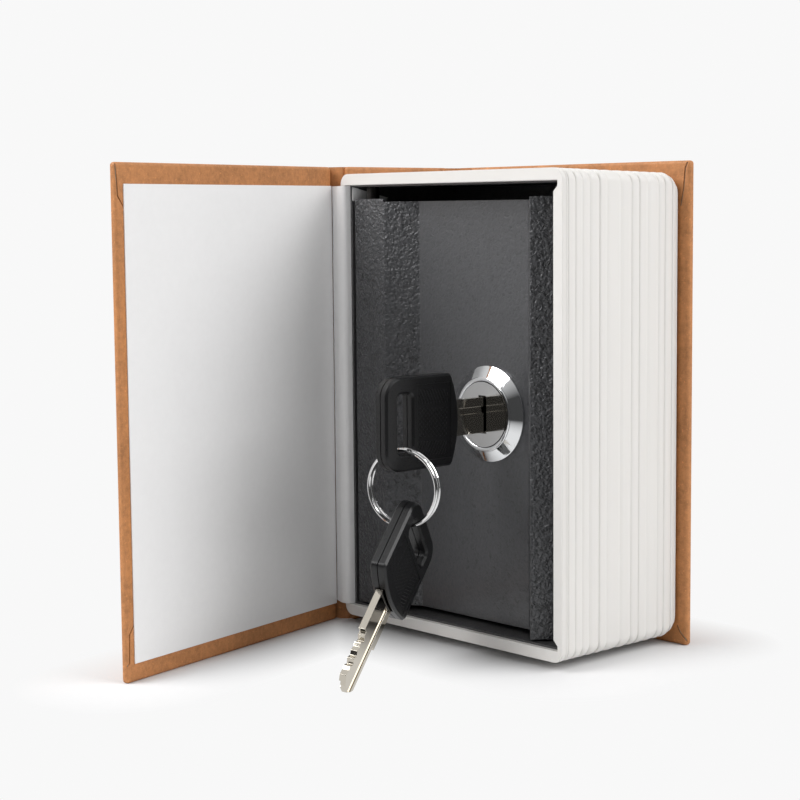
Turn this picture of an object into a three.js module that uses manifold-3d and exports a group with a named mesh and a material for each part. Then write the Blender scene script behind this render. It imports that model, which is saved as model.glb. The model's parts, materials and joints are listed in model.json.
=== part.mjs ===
// Book diversion safe: a small hardback book whose page block is a moulded frame round a locked steel box.
// Millimetres, +Z up. The book stands on the bottom edges of its covers, its front cover open 77 degrees,
// with one key in the lock and a spare key hanging from it on a split ring.
// Every piece is drawn in the book frame: X from the spine side of the page block to its fore-edge,
// Y from the block's front rim to its back, Z up from the surface. At the end the whole book is moved
// so that the origin is the middle of the back cover's bottom edge.
import * as THREE from "three";
import { mergeVertices } from "three/addons/utils/BufferGeometryUtils.js";
import Module from "manifold-3d";

const wasm = await Module();
wasm.setup();

// Page block
const blockWidth = 74.4; // spine side to fore-edge
const blockDepth = 40.4; // front rim to back
const blockBottom = 2.2; // front rim above the surface
const blockTop = 113.1; // front rim's top edge
const blockDraft = 0.9; // the top slopes down by this much towards the back
const backRound = 3.6; // rounding of the moulding's top and bottom towards the back
const sideRound = 0.8; // rounding of its upright back edges
const sideRoundSteps = 3;
const blockCorner = 2.6; // radius of the four corners
const rimLip = 0.6; // top and bottom lips past the cavity
const railLip = 1.2; // fore-edge rail past the cavity
const rimDepth = 1.4; // thickness of the lips, front to back
const sideWall = 1.5; // side walls, outside to cavity
const bottomWall = 2.1; // front rim's bottom edge to cavity
const topWall = 2.2;
const railRelief = 2.4; // the rail's lip ends this far from the other lips, in a 45 degree step
const frontBand = 1.3; // smooth band behind the front edge
const edgeRound = 0.3; // softened front edge
const ridgeWidths = [0.8, 2.3, 2, 2.4, 3.1, 2.3, 4.2, 3.7, 2.5, 2.6, 3.6, 2.3, 2.4, 1.3]; // like pressed pages
const ridgeDepth = 0.42;
const ridgeEnds = 1.3; // how much deeper the grooves are at the top and bottom
const ridgeShoulder = 0.28; // where a ridge reaches its full height, as a share of its width

// Covers
const bookHeight = 115;
const coverOverhang = 2.6; // past the fore-edge
const coverStart = -0.36; // where the boards begin at the spine
const boardThickness = 1.3;
const paperThickness = 0.12;
const pasteGap = 0.2; // between a board and the paper round it
const turnIn = 12; // width of the paper folded over the boards' edges
const frontCoverGap = 0.6; // closed front cover to the rim
const backCoverGap = 0.45; // block to back cover, which the back endpaper fills
const spineGap = 0.3; // block to spine
const jointWidth = 4; // spine board to the covers' inner faces
const hingeX = -1.7; // fold line of the front joint
const hingeY = 2.2;
const coverOpenAngle = 77;
const endpaperFore = 2.2; // bare borders round the endpapers
const endpaperTop = 4.7;
const endpaperBottom = 4.2;
const jointPaperEnd = 2.9; // the inner joint paper rolls over the hinge-side wall into the cavity, up to here
const jointPaperDepth = 1.3;
const jointRoll = 1.4; // how far its bend is pulled in front of the rim
const jointSlack = 0.5;
const jointPaperClear = 0.1; // to the lips above and below it
const jointClear = 0.25;
const jointBulge = 1.2; // how far the slack joint papers swell

// Steel box
const steel = 0.8; // box sheet
const boxClear = 0.2; // box to the cavity walls
const backWall = 1.8; // closed back of the block
const rivetInset = 14; // rivets from the box walls
const rivetRadius = 1.5;
const rivetHead = 2.8;
const rivetHeadHeight = 0.9;
const rivetFoot = 2.4;
const rivetFootHeight = 0.6; // sunk in the block's back
const rivetClear = 0.15;
const stopThickness = 0.8; // angle that the closed door rests against
const stopReach = 7.2;
const stopLeg = 7;
const stopBelow = 9.5; // angle's ends from the box's bottom and top
const stopAbove = 12.7;
const stopClear = 0.3;

// Door
const doorSheet = 0.9;
const doorClearBelow = 1.2; // door to the inside of the box, on its four sides
const doorClearAbove = 3.7;
const doorClearHinge = 0.9;
const doorClearFree = 4.9;
const doorFlangeRise = 0.7; // the two raised edges are this much longer at each end
const doorRaised = 1.5; // raised edges, behind the front plane
const doorRecess = 6.5; // recessed panel, behind the front plane
const hingeFace = 10.8; // width of the flat edge at the hinge side
const hingeSlope = 7.5; // width of the slope from it to the recessed panel
const freeSlope = 5; // width of the slope up to the crest of the free edge
const crestWidth = 3.8; // crest to the outer face of the return flange
const returnY = 5.8;
const returnEnd = 10;
const pivotInset = 4; // hinge pins from the door's hinge edge
const pivotDepth = 2.7; // and behind its raised edges
const pinRadius = 0.9;
const pinShoulder = 1.6;
const pinHoleClear = 0.15;
const pinPast = 1.9; // pins pass the ears by this much
const earReach = 2.1; // ears past the pivot
const earThickness = 0.9;
const earInset = 0.2; // lower ear above the door's bottom edge, upper ear below its top edge
const pinSeat = 0.2; // shoulders to ear and box

// Lock
const lockInset = 21.6; // lock's axis from the return flange
const lockDrop = 0.15; // and below the door's middle
const headRadius = 11.4;
const headHeight = 2.4;
const headEdge = 0.35; // height of the head's rim
const ringRadius = 8.45; // raised ring round the plug
const ringRise = 0.35;
const plugFaceRadius = 7.7;
const plugClear = 0.13;
const barrelRadius = 9.3;
const barrelFlat = 8.7; // half of the width across the barrel's flats
const barrelLength = 16;
const barrelWeb = 3.4; // closed end of the barrel
const tailRadius = 5.4;
const seatGap = 0.1; // between clamped faces
const holeClear = 0.2; // barrel in the door
const washerRadius = 12;
const washerThickness = 0.7;
const nutFlat = 11.5; // half of the width across the nut's flats
const nutThickness = 3;
const keywayWidth = 2.6;
const keywayHeight = 6.9;
const keywayMouth = 9; // the mouth takes the key's shank
const mouthDepth = 1.2;
const keywayDepth = 14.6;
const waferCount = 4;
const waferPitch = 2.4;
const waferThickness = 0.9;
const waferHalfWidth = 3.2;
const waferHalfHeight = 6.2;
const waferWindow = 1.7; // half of the window's width
const waferWindowHeight = 4.7; // half of its height
const waferStart = 4; // first wafer behind the plug's face
const waferClear = 0.2;
const camThickness = 2;
const camWidth = 10;
const camEndClear = 0.3; // turned cam's end to the outside of the box wall
const camHub = 7.6;
const tailSquare = 3.5; // half of the tail's square
const camHoleClear = 0.15;
const camGap = 0.3; // barrel to cam
const camWasherRadius = 5.6;
const camWasherThickness = 0.8;
const screwRadius = 1.5;
const screwHead = 3.9;
const screwHeadHeight = 2.3;
const screwDepth = 5.5;
const strikeClear = 1.2; // slot in the box wall round the cam
const strikeBelow = 12.2; // slot reach under the lock axis
const strikeAbove = 6;

// Keys
const bowLength = 20.4; // outer end to the corners of the inner end
const bowBulge = 2.2; // the inner end swells by this much
const bowWidth = 21.3;
const bowThickness = 4;
const bowCorner = 4.5;
const bowInnerCorner = 1;
const bowChamfer = 0.5;
const shellSeam = 0.2;
const slotCentre = 5.9; // ring slot from the bow's outer end
const slotWidth = 4.4;
const slotLength = 13.8;
const slotFlare = 0.5; // rounded mouth of the slot
const slotCorner = 1.2;
const gripStart = 9.6; // sunk panel on each face
const gripEnd = 20;
const gripWidth = 17.4;
const gripDepth = 0.25;
const bladeThickness = 2;
const shankHeight = 8.4;
const bladeHeight = 6.2;
const shoulderAt = 33; // bow's outer end to the shoulders
const tipAt = 46;
const tangStart = 10;
const tangClear = 0.2;
const tipChamfer = 1.6;
const cutCount = 5;
const cutPitch = 2.05;
const cutDepth = 1;
const cutUnevenness = 2.4; // phase from one cut's depth to the next, in radians
const grooveWidth = 1.5;
const grooveDepth = 0.45;
const grooveOffset = 1.3;
const shoulderSeat = 0.9; // how far the shank stands in the keyway's mouth

// Split ring and spare key
const wireDiameter = 0.87;
const coilPitch = 1.32;
const ringMiddle = 8.65; // radius of the wire's centre line
const ringTurn = 18.4; // the ring's plane, turned from the book's width
const ringOffset = 0.8; // the ring hangs this far off its middle
const ringClear = 0.25;
const ringSteps = 24; // for each turn
const wireSides = 6;
const coilEnd = 24; // degrees from the step to each end of the wire
const coilStep = 20; // degrees that half of the step takes
const spareSeat = 1.6; // wire centre to the two sides of the spare key's slot
const spareOffset = 0.7; // the spare key hangs this far off the ring's lowest point
const spareTurn = 23.7; // the spare key, turned from the book's width
const spareRoll = 6.9; // and leaning over its right face
const floorClear = 0.3; // spare key's tip above the surface

const degrees = Math.PI / 180;
const past = 1; // how far a cutting solid runs past the faces that it cuts

// Places that follow from the sizes
const coverThickness = boardThickness + 2 * (pasteGap + paperThickness);
const coverEdge = blockWidth + coverOverhang;
const frontInner = -frontCoverGap;
const backInner = blockDepth + backCoverGap;
const backOuter = backInner + coverThickness;
const spineInner = -spineGap;
const spineOuter = spineInner - coverThickness;
const spineFront = frontInner + jointWidth;
const spineBack = backInner - jointWidth;
const cavityLeft = sideWall;
const cavityRight = blockWidth - sideWall;
const cavityBottom = blockBottom + bottomWall;
const cavityTop = blockTop - topWall;
const boxLeft = cavityLeft + boxClear;
const boxRight = cavityRight - boxClear;
const boxBottom = cavityBottom + boxClear;
const boxTop = cavityTop - boxClear;
const boxFront = rimDepth + boxClear;
const boxBack = blockDepth - backWall - boxClear;
const stopBottom = boxBottom + stopBelow;
const stopTop = boxTop - stopAbove;
const doorBottom = boxBottom + steel + doorClearBelow;
const doorTop = boxTop - steel - doorClearAbove;
const doorLeft = boxLeft + steel + doorClearHinge;
const hingeFaceEnd = doorLeft + hingeFace;
const panelStart = hingeFaceEnd + hingeSlope;
const returnX = boxRight - steel - doorClearFree;
const ridgeX = returnX - crestWidth;
const panelEnd = ridgeX - freeSlope;
const pivotX = doorLeft + pivotInset;
const pivotY = doorRaised + pivotDepth;
const lockX = returnX - lockInset;
const lockZ = (doorBottom + doorTop) / 2 - lockDrop;
const camReach = boxRight - camEndClear - lockX;
const doorBack = doorRecess + doorSheet;
const headBack = doorRecess - seatGap;
const headFront = headBack - headHeight;
const plugFace = headFront + 0.1;
const barrelEnd = doorBack + barrelLength;
const webStart = barrelEnd - barrelWeb;
const camFront = barrelEnd + camGap;
const camBack = camFront + camThickness;
const keyStart = plugFace + shoulderSeat - shoulderAt;
const bowEnd = bowLength + bowBulge;
const slotBottom = lockZ - slotLength / 2;
const ringInner = ringMiddle - wireDiameter / 2;
const originX = (coverStart + coverEdge) / 2;
const originY = (backInner + backOuter) / 2;

const kraft = new THREE.MeshStandardMaterial({ color: 0xbe8755, roughness: 0.85 });
const board = new THREE.MeshStandardMaterial({ color: 0x9a8f80, roughness: 0.95 });
const whitePaper = new THREE.MeshStandardMaterial({ color: 0xe8e7e6, roughness: 0.8 });
const pagePlastic = new THREE.MeshStandardMaterial({ color: 0xedece6, roughness: 0.45 });
const boxPaint = new THREE.MeshStandardMaterial({ color: 0x38393c, roughness: 0.4, metalness: 0.4 });
const doorPaint = new THREE.MeshStandardMaterial({ color: 0x4a4a4d, roughness: 0.4, metalness: 0.4 });
const chrome = new THREE.MeshStandardMaterial({ color: 0xd8d9db, roughness: 0.1, metalness: 1 });
const plainSteel = new THREE.MeshStandardMaterial({ color: 0xa5a6a6, roughness: 0.35, metalness: 1 });
const brass = new THREE.MeshStandardMaterial({ color: 0xb59a55, roughness: 0.35, metalness: 1 });
const nickel = new THREE.MeshStandardMaterial({ color: 0xb9b3a6, roughness: 0.3, metalness: 1 });
const blackPlastic = new THREE.MeshStandardMaterial({ color: 0x1b1b1d, roughness: 0.45 });

// A closed geometry as a solid, with its faces turned outwards
function solid(geometry) {
  const bare = geometry.index ? geometry.toNonIndexed() : geometry.clone();
  bare.deleteAttribute("normal");
  bare.deleteAttribute("uv");
  const merged = mergeVertices(bare, 1e-4);
  const triVerts = new Uint32Array(merged.index.array);
  const vertProperties = merged.attributes.position.array;
  const made = new wasm.Manifold(new wasm.Mesh({ numProp: 3, vertProperties, triVerts }));
  if (made.volume() > 0) return made;
  for (let i = 0; i < triVerts.length; i += 3) {
    const first = triVerts[i];
    triVerts[i] = triVerts[i + 1];
    triVerts[i + 1] = first;
  }
  return new wasm.Manifold(new wasm.Mesh({ numProp: 3, vertProperties, triVerts }));
}

// A solid as a named mesh in its group
function place(group, name, shape, material) {
  const found = shape.getMesh();
  const geometry = new THREE.BufferGeometry();
  geometry.setAttribute("position", new THREE.BufferAttribute(found.vertProperties.slice(), 3));
  geometry.setIndex(new THREE.BufferAttribute(found.triVerts.slice(), 1));
  const flat = geometry.toNonIndexed();
  flat.computeVertexNormals();
  const mesh = new THREE.Mesh(flat, material);
  mesh.name = name;
  group.add(mesh);
  return mesh;
}

function box(x0, x1, y0, y1, z0, z1) {
  const geometry = new THREE.BoxGeometry(Math.abs(x1 - x0), Math.abs(y1 - y0), Math.abs(z1 - z0));
  geometry.translate((x0 + x1) / 2, (y0 + y1) / 2, (z0 + z1) / 2);
  return solid(geometry);
}

function union(shapes) {
  return shapes.reduce((all, next) => all.add(next));
}

function extrusion(shape, depth, bevel, steps) {
  return new THREE.ExtrudeGeometry(shape, {
    depth: depth - 2 * bevel,
    steps,
    curveSegments: 8,
    bevelEnabled: bevel > 0,
    bevelThickness: bevel,
    bevelSize: bevel,
    bevelOffset: -bevel,
    bevelSegments: 1,
  }).translate(0, 0, bevel);
}

// Plan outline in X and Y, raised from z0 to z1
function upright(shape, z0, z1) {
  return solid(extrusion(shape, z1 - z0, 0, 1).translate(0, 0, z0));
}

// Front outline in X and Z, from y0 back to y1
function frontOn(shape, y0, y1) {
  return solid(extrusion(shape, y1 - y0, 0, 1).rotateX(Math.PI / 2).translate(0, y1, 0));
}

// Side outline in Y and Z, centred on x = 0
function sideOn(shape, thickness, bevel) {
  const toSide = new THREE.Matrix4().makeBasis(
    new THREE.Vector3(0, 1, 0),
    new THREE.Vector3(0, 0, 1),
    new THREE.Vector3(1, 0, 0),
  );
  return solid(extrusion(shape, thickness, bevel, 1).applyMatrix4(toSide).translate(-thickness / 2, 0, 0));
}

// A profile of [radius, place] points turned round an axis along Y
function turnedY(profile, x, z, sides) {
  const points = profile.map(([radius, at]) => new THREE.Vector2(radius, at));
  return solid(new THREE.LatheGeometry(points, sides).translate(x, 0, z));
}

function turnedZ(profile, x, y, sides) {
  const points = profile.map(([radius, at]) => new THREE.Vector2(radius, at));
  return solid(new THREE.LatheGeometry(points, sides).rotateX(Math.PI / 2).translate(x, y, 0));
}

function cylinderY(radius, y0, y1, x, z, sides) {
  return turnedY([[0, y0], [radius, y0], [radius, y1], [0, y1]], x, z, sides);
}

function cylinderZ(radius, z0, z1, x, y, sides) {
  return turnedZ([[0, z0], [radius, z0], [radius, z1], [0, z1]], x, y, sides);
}

function polygon(points) {
  return new THREE.Shape(points.map(([x, y]) => new THREE.Vector2(x, y)));
}

function roundedRectangle(x0, x1, y0, y1, radius) {
  const shape = new THREE.Shape();
  shape.moveTo(x0 + radius, y0);
  shape.lineTo(x1 - radius, y0);
  shape.absarc(x1 - radius, y0 + radius, radius, -Math.PI / 2, 0, false);
  shape.lineTo(x1, y1 - radius);
  shape.absarc(x1 - radius, y1 - radius, radius, 0, Math.PI / 2, false);
  shape.lineTo(x0 + radius, y1);
  shape.absarc(x0 + radius, y1 - radius, radius, Math.PI / 2, Math.PI, false);
  shape.lineTo(x0, y0 + radius);
  shape.absarc(x0 + radius, y0 + radius, radius, Math.PI, Math.PI * 1.5, false);
  return shape;
}

// Outline of a bent sheet: its front face is a line of points, and its thickness lies to the left of it
function bentSheet(front, thickness) {
  const points = front.map(([x, y]) => new THREE.Vector2(x, y));
  const normals = points.slice(1).map((point, i) => {
    const along = point.clone().sub(points[i]).normalize();
    return new THREE.Vector2(-along.y, along.x);
  });
  const back = points.map((point, i) => {
    const before = normals[Math.max(i - 1, 0)];
    const after = normals[Math.min(i, normals.length - 1)];
    const middle = before.clone().add(after).normalize();
    return point.clone().addScaledVector(middle, thickness / middle.dot(after));
  });
  return new THREE.Shape([...points, ...back.reverse()]);
}

// Paper folded round three edges of a cover, open at the spine end
function coverWrap(x0, x1, innerY, outerY) {
  const inwards = Math.sign(outerY - innerY) * paperThickness;
  const sheet = box(x0, x1, innerY, outerY, 0, bookHeight);
  const hollow = box(
    x0 - past,
    x1 - paperThickness,
    innerY + inwards,
    outerY - inwards,
    paperThickness,
    bookHeight - paperThickness,
  );
  const bare = box(x0 - past, x1 - turnIn, innerY - inwards, innerY + 2 * inwards, turnIn, bookHeight - turnIn);
  return sheet.subtract(hollow).subtract(bare);
}

function coverBoard(x0, x1, innerY, outerY) {
  const inset = paperThickness + pasteGap;
  const inwards = Math.sign(outerY - innerY) * inset;
  return box(x0, x1 - inset, innerY + inwards, outerY - inwards, inset, bookHeight - inset);
}

// Where the page-like ridges lie from front to back, with how far the sides and the ends are sunk at each place
function ridgePlaces() {
  const sides = [
    [0, edgeRound],
    [edgeRound, 0],
    [frontBand, 0],
  ];
  const total = ridgeWidths.reduce((sum, width) => sum + width, 0);
  const sideStart = blockDepth - sideRound;
  const room = sideStart - frontBand;
  let at = frontBand;
  for (const width of ridgeWidths) {
    const step = (width / total) * room;
    sides.push([at + step * ridgeShoulder, 0], [at + step * (1 - ridgeShoulder), 0], [at + step, ridgeDepth]);
    at += step;
  }
  for (let i = 1; i <= sideRoundSteps; i++) {
    const turn = (i * Math.PI) / 2 / sideRoundSteps;
    sides.push([sideStart + sideRound * Math.sin(turn), sideRound * (1 - Math.cos(turn))]);
  }
  return sides.map(([y, side]) => {
    const along = Math.min(Math.max(y - blockDepth + backRound, 0), backRound);
    return [y, side, side * ridgeEnds + backRound - Math.sqrt(backRound ** 2 - along ** 2)];
  });
}

// The block's outside: a rounded outline drawn back in steps, each sunk as its ridge and the draft ask
function ridgedBlock() {
  const places = ridgePlaces();
  const steps = places.length - 1;
  const outline = roundedRectangle(0, blockWidth, blockBottom, blockTop, blockCorner);
  const geometry = new THREE.ExtrudeGeometry(outline, { depth: steps, steps, curveSegments: 5, bevelEnabled: false });
  const position = geometry.attributes.position;
  const middleZ = (blockBottom + blockTop) / 2;
  const halfHeight = (blockTop - blockBottom) / 2;
  for (let i = 0; i < position.count; i++) {
    const [y, side, end] = places[Math.round(position.getZ(i))];
    const x = position.getX(i) * (1 - side / blockWidth);
    const up = (position.getY(i) - middleZ) * (1 - end / halfHeight);
    const z = middleZ + up - (blockDraft * y * (up + halfHeight)) / (blockDepth * 2 * halfHeight);
    position.setXYZ(i, x, y, z);
  }
  return solid(geometry);
}

function makePageFrame() {
  const lipBottom = cavityBottom + rimLip;
  const lipTop = cavityTop - rimLip;
  const stepAt = railRelief - railLip;
  const right = [
    [cavityRight, lipBottom],
    [cavityRight, lipBottom + stepAt],
    [cavityRight - railLip, lipBottom + railRelief],
    [cavityRight - railLip, lipTop - railRelief],
    [cavityRight, lipTop - stepAt],
    [cavityRight, lipTop],
  ];
  const left = [
    [cavityLeft, lipTop],
    [cavityLeft, lipBottom],
  ];
  const opening = frontOn(polygon([...right, ...left]), -past, rimDepth + past);
  const cavity = box(cavityLeft, cavityRight, rimDepth, blockDepth - backWall, cavityBottom, cavityTop);
  const sunk = blockDepth - rivetFootHeight - 2 * rivetClear;
  const holes = rivetPlaces().map(([x, z]) =>
    cylinderY(rivetRadius + rivetClear, boxBack - past, blockDepth + past, x, z, 24).add(
      cylinderY(rivetFoot + rivetClear, sunk, blockDepth + past, x, z, 24),
    ),
  );
  return ridgedBlock().subtract(union([cavity, opening, ...holes]));
}

// Kraft paper over the spine, the back joint and the back cover, in one sheet
function makeCasePaper() {
  const back = coverWrap(coverStart, coverEdge, backInner, backOuter);
  const spineSheet = box(spineOuter, spineInner, spineFront, spineBack, 0, bookHeight);
  const hollow = box(
    spineOuter + paperThickness,
    spineInner - paperThickness,
    spineFront - past,
    spineBack + past,
    paperThickness,
    bookHeight - paperThickness,
  );
  const bare = box(
    spineInner - 2 * paperThickness,
    spineInner + past,
    spineFront - past,
    spineBack + past,
    turnIn,
    bookHeight - turnIn,
  );
  const across = coverStart - spineOuter;
  const along = backOuter - spineBack;
  const outside = new THREE.Path();
  outside.moveTo(spineOuter, spineBack - paperThickness);
  outside.absellipse(coverStart, spineBack, across, along, Math.PI, Math.PI / 2, true, 0);
  outside.lineTo(coverStart + paperThickness, backOuter);
  const inside = new THREE.Path();
  inside.moveTo(spineOuter + paperThickness, spineBack - paperThickness);
  inside.absellipse(
    coverStart,
    spineBack,
    across - paperThickness,
    along - paperThickness,
    Math.PI,
    Math.PI / 2,
    true,
    0,
  );
  inside.lineTo(coverStart + paperThickness, backOuter - paperThickness);
  const corner = [...outside.getPoints(8), ...inside.getPoints(8).reverse()];
  return union([spineSheet.subtract(hollow).subtract(bare), back, upright(new THREE.Shape(corner), 0, bookHeight)]);
}

function makeSpineBoard() {
  const inset = paperThickness + pasteGap;
  return box(spineOuter + inset, spineInner - inset, spineFront, spineBack, inset, bookHeight - inset);
}

// A point of the closed front cover, where the open cover carries it
function opened(x, y) {
  const turn = -coverOpenAngle * degrees;
  const dx = x - hingeX;
  const dy = y - hingeY;
  return new THREE.Vector2(
    hingeX + dx * Math.cos(turn) - dy * Math.sin(turn),
    hingeY + dx * Math.sin(turn) + dy * Math.cos(turn),
  );
}

// Paper that follows a curve in plan, its thickness to the left of it
function jointPaper(curve, bottom, top) {
  const points = curve.getPoints(8).map((point) => [point.x, point.y]);
  return upright(bentSheet(points, paperThickness), bottom, top);
}

function makeJointKraft() {
  const start = new THREE.Vector2(spineOuter, spineFront - jointClear);
  const end = opened(coverStart - jointClear, frontInner - coverThickness);
  const along = end.clone().sub(opened(coverStart - jointClear - jointBulge, frontInner - coverThickness));
  return jointPaper(
    new THREE.CubicBezierCurve(
      end,
      end.clone().sub(along),
      new THREE.Vector2(start.x, start.y - jointBulge),
      start,
    ),
    0,
    bookHeight,
  );
}

function makeJointEndpaper() {
  const curve = new THREE.CubicBezierCurve(
    new THREE.Vector2(jointPaperEnd, jointPaperDepth),
    new THREE.Vector2(jointPaperEnd - 1, -jointRoll),
    new THREE.Vector2(-jointBulge, -jointSlack),
    opened(coverStart - jointClear, frontInner + pasteGap),
  );
  const lip = rimLip + jointPaperClear;
  return jointPaper(curve, cavityBottom + lip, cavityTop - lip);
}

function makeSafeBox() {
  const outside = box(boxLeft, boxRight, boxFront, boxBack, boxBottom, boxTop);
  const inside = box(
    boxLeft + steel,
    boxRight - steel,
    boxFront - past,
    boxBack - steel,
    boxBottom + steel,
    boxTop - steel,
  );
  const strike = box(
    boxRight - steel - past,
    boxRight + past,
    camFront - strikeClear,
    camBack + strikeClear,
    lockZ - strikeBelow,
    lockZ + strikeAbove,
  );
  const pinHole = cylinderZ(pinRadius + pinHoleClear, boxBottom - past, boxTop + past, pivotX, pivotY, 24);
  const holes = rivetPlaces().map(([x, z]) =>
    cylinderY(rivetRadius + rivetClear, boxBack - steel - past, boxBack + past, x, z, 24),
  );
  return outside.subtract(union([inside, strike, pinHole, ...holes]));
}

function rivetPlaces() {
  const left = boxLeft + rivetInset;
  const right = boxRight - rivetInset;
  const low = boxBottom + rivetInset;
  const high = boxTop - rivetInset;
  return [
    [left, low],
    [right, low],
    [left, high],
    [right, high],
  ];
}

// Rivet through the box and the back of the block
function makeRivet(x, z) {
  const seat = boxBack - steel - seatGap;
  const end = blockDepth - rivetClear;
  return turnedY(
    [
      [0, seat - rivetHeadHeight],
      [rivetHead * 0.55, seat - rivetHeadHeight * 0.85],
      [rivetHead * 0.9, seat - rivetHeadHeight * 0.4],
      [rivetHead, seat],
      [rivetRadius, seat],
      [rivetRadius, end - rivetFootHeight],
      [rivetFoot, end - rivetFootHeight],
      [rivetFoot, end],
      [0, end],
    ],
    x,
    z,
    24,
  );
}

// Steel angle on the fore-edge wall that stops the closed door
function makeDoorStop() {
  const wall = boxRight - steel - seatGap;
  const front = returnEnd + stopClear;
  const leaf = box(wall - stopReach, wall, front, front + stopThickness, stopBottom, stopTop);
  const leg = box(wall - stopThickness, wall, front, front + stopLeg, stopBottom, stopTop);
  return leaf.add(leg);
}

// A round bar with two flats that face the book's sides
function flattedBar(radius, flat, y0, y1, sides) {
  const bar = cylinderY(radius, y0, y1, lockX, lockZ, sides);
  return bar.intersect(box(lockX - flat, lockX + flat, y0 - past, y1 + past, lockZ - 2 * radius, lockZ + 2 * radius));
}

function earLevels() {
  const low = doorBottom + earInset;
  const high = doorTop - earInset - earThickness;
  return [low, high];
}

function makeDoor() {
  const profile = bentSheet(
    [
      [doorLeft, doorRaised],
      [hingeFaceEnd, doorRaised],
      [panelStart, doorRecess],
      [panelEnd, doorRecess],
      [ridgeX, doorRaised],
      [returnX, returnY],
      [returnX, returnEnd],
    ],
    doorSheet,
  );
  const sheet = upright(profile, doorBottom - doorFlangeRise, doorTop + doorFlangeRise);
  const middle = [hingeFaceEnd, ridgeX - doorSheet];
  const cuts = [
    box(...middle, doorRaised - past, returnEnd + past, doorTop, doorTop + doorFlangeRise + past),
    box(...middle, doorRaised - past, returnEnd + past, doorBottom - doorFlangeRise - past, doorBottom),
    flattedBar(barrelRadius + holeClear, barrelFlat + holeClear, doorRecess - past, doorBack + past, 48),
    cylinderZ(pinRadius + pinHoleClear, doorBottom - past, doorTop + past, pivotX, pivotY, 24),
  ];
  const ears = earLevels().map((low) =>
    box(
      doorLeft + doorSheet,
      pivotX + earReach,
      doorRaised + doorSheet / 2,
      pivotY + earReach,
      low,
      low + earThickness,
    ),
  );
  return union([sheet, ...ears]).subtract(union(cuts));
}

function makeUpperPin() {
  const earTop = earLevels()[1] + earThickness;
  const ceiling = boxTop - steel;
  return turnedZ(
    [
      [0, earTop - earThickness - pinPast],
      [pinRadius, earTop - earThickness - pinPast],
      [pinRadius, earTop + pinSeat],
      [pinShoulder, earTop + pinSeat],
      [pinShoulder, ceiling - pinSeat],
      [pinRadius, ceiling - pinSeat],
      [pinRadius, boxTop],
      [0, boxTop],
    ],
    pivotX,
    pivotY,
    24,
  );
}

function makeLowerPin() {
  const earBottom = earLevels()[0];
  const floor = boxBottom + steel;
  return turnedZ(
    [
      [0, boxBottom],
      [pinRadius, boxBottom],
      [pinRadius, floor + pinSeat],
      [pinShoulder, floor + pinSeat],
      [pinShoulder, earBottom - pinSeat],
      [pinRadius, earBottom - pinSeat],
      [pinRadius, earBottom + earThickness + pinPast],
      [0, earBottom + earThickness + pinPast],
    ],
    pivotX,
    pivotY,
    24,
  );
}

function makeLockHousing() {
  const bore = plugFaceRadius + plugClear;
  const head = turnedY(
    [
      [0, headFront],
      [ringRadius, headFront],
      [ringRadius + ringRise, headFront + ringRise],
      [headRadius, headBack - headEdge],
      [headRadius, headBack],
      [0, headBack],
    ],
    lockX,
    lockZ,
    64,
  );
  const barrel = flattedBar(barrelRadius, barrelFlat, headBack - seatGap, barrelEnd, 48);
  const hole = turnedY(
    [
      [0, headFront - past],
      [bore, headFront - past],
      [bore, webStart],
      [tailRadius + plugClear, webStart],
      [tailRadius + plugClear, barrelEnd + past],
      [0, barrelEnd + past],
    ],
    lockX,
    lockZ,
    64,
  );
  return head.add(barrel).subtract(hole);
}

function makeLockWasher() {
  const front = doorBack + seatGap;
  const teeth = 12;
  const outline = new THREE.Shape();
  for (let i = 0; i < 2 * teeth; i++) {
    const radius = i % 2 ? washerRadius : washerRadius - 1;
    const turn = (i * Math.PI) / teeth;
    const x = lockX + radius * Math.cos(turn);
    const z = lockZ + radius * Math.sin(turn);
    if (i) outline.lineTo(x, z);
    else outline.moveTo(x, z);
  }
  const hole = cylinderY(barrelRadius + holeClear, front - past, front + washerThickness + past, lockX, lockZ, 48);
  return frontOn(outline, front, front + washerThickness).subtract(hole);
}

function makeLockNut() {
  const front = doorBack + 2 * seatGap + washerThickness;
  const hexagon = Array.from({ length: 6 }, (_, i) => {
    const turn = (i * Math.PI) / 3;
    const radius = nutFlat / Math.cos(Math.PI / 6);
    return [lockX + radius * Math.cos(turn), lockZ + radius * Math.sin(turn)];
  });
  const hole = cylinderY(barrelRadius + holeClear, front - past, front + nutThickness + past, lockX, lockZ, 48);
  return frontOn(polygon(hexagon), front, front + nutThickness).subtract(hole);
}

function waferPlaces() {
  return Array.from({ length: waferCount }, (_, i) => plugFace + waferStart + i * waferPitch);
}

function boxOnAxis(halfWidth, halfHeight, y0, y1) {
  return box(lockX - halfWidth, lockX + halfWidth, y0, y1, lockZ - halfHeight, lockZ + halfHeight);
}

function makePlug() {
  const shoulder = webStart - plugClear;
  const body = turnedY(
    [
      [0, plugFace],
      [plugFaceRadius, plugFace],
      [plugFaceRadius, shoulder],
      [tailRadius, shoulder],
      [tailRadius, barrelEnd],
      [0, barrelEnd],
    ],
    lockX,
    lockZ,
    64,
  );
  const tail = boxOnAxis(tailSquare, tailSquare, barrelEnd - past, camBack);
  const cuts = [
    boxOnAxis(keywayWidth / 2, keywayHeight / 2, plugFace - past, plugFace + keywayDepth),
    boxOnAxis(keywayWidth / 2, keywayMouth / 2, plugFace - past, plugFace + mouthDepth),
    cylinderY(screwRadius + rivetClear, camBack - screwDepth - 2 * rivetClear, camBack + past, lockX, lockZ, 24),
    ...waferPlaces().map((at) =>
      boxOnAxis(
        waferHalfWidth + waferClear,
        waferHalfHeight + waferClear,
        at - waferClear,
        at + waferThickness + waferClear,
      ),
    ),
  ];
  return body.add(tail).subtract(union(cuts));
}

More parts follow.
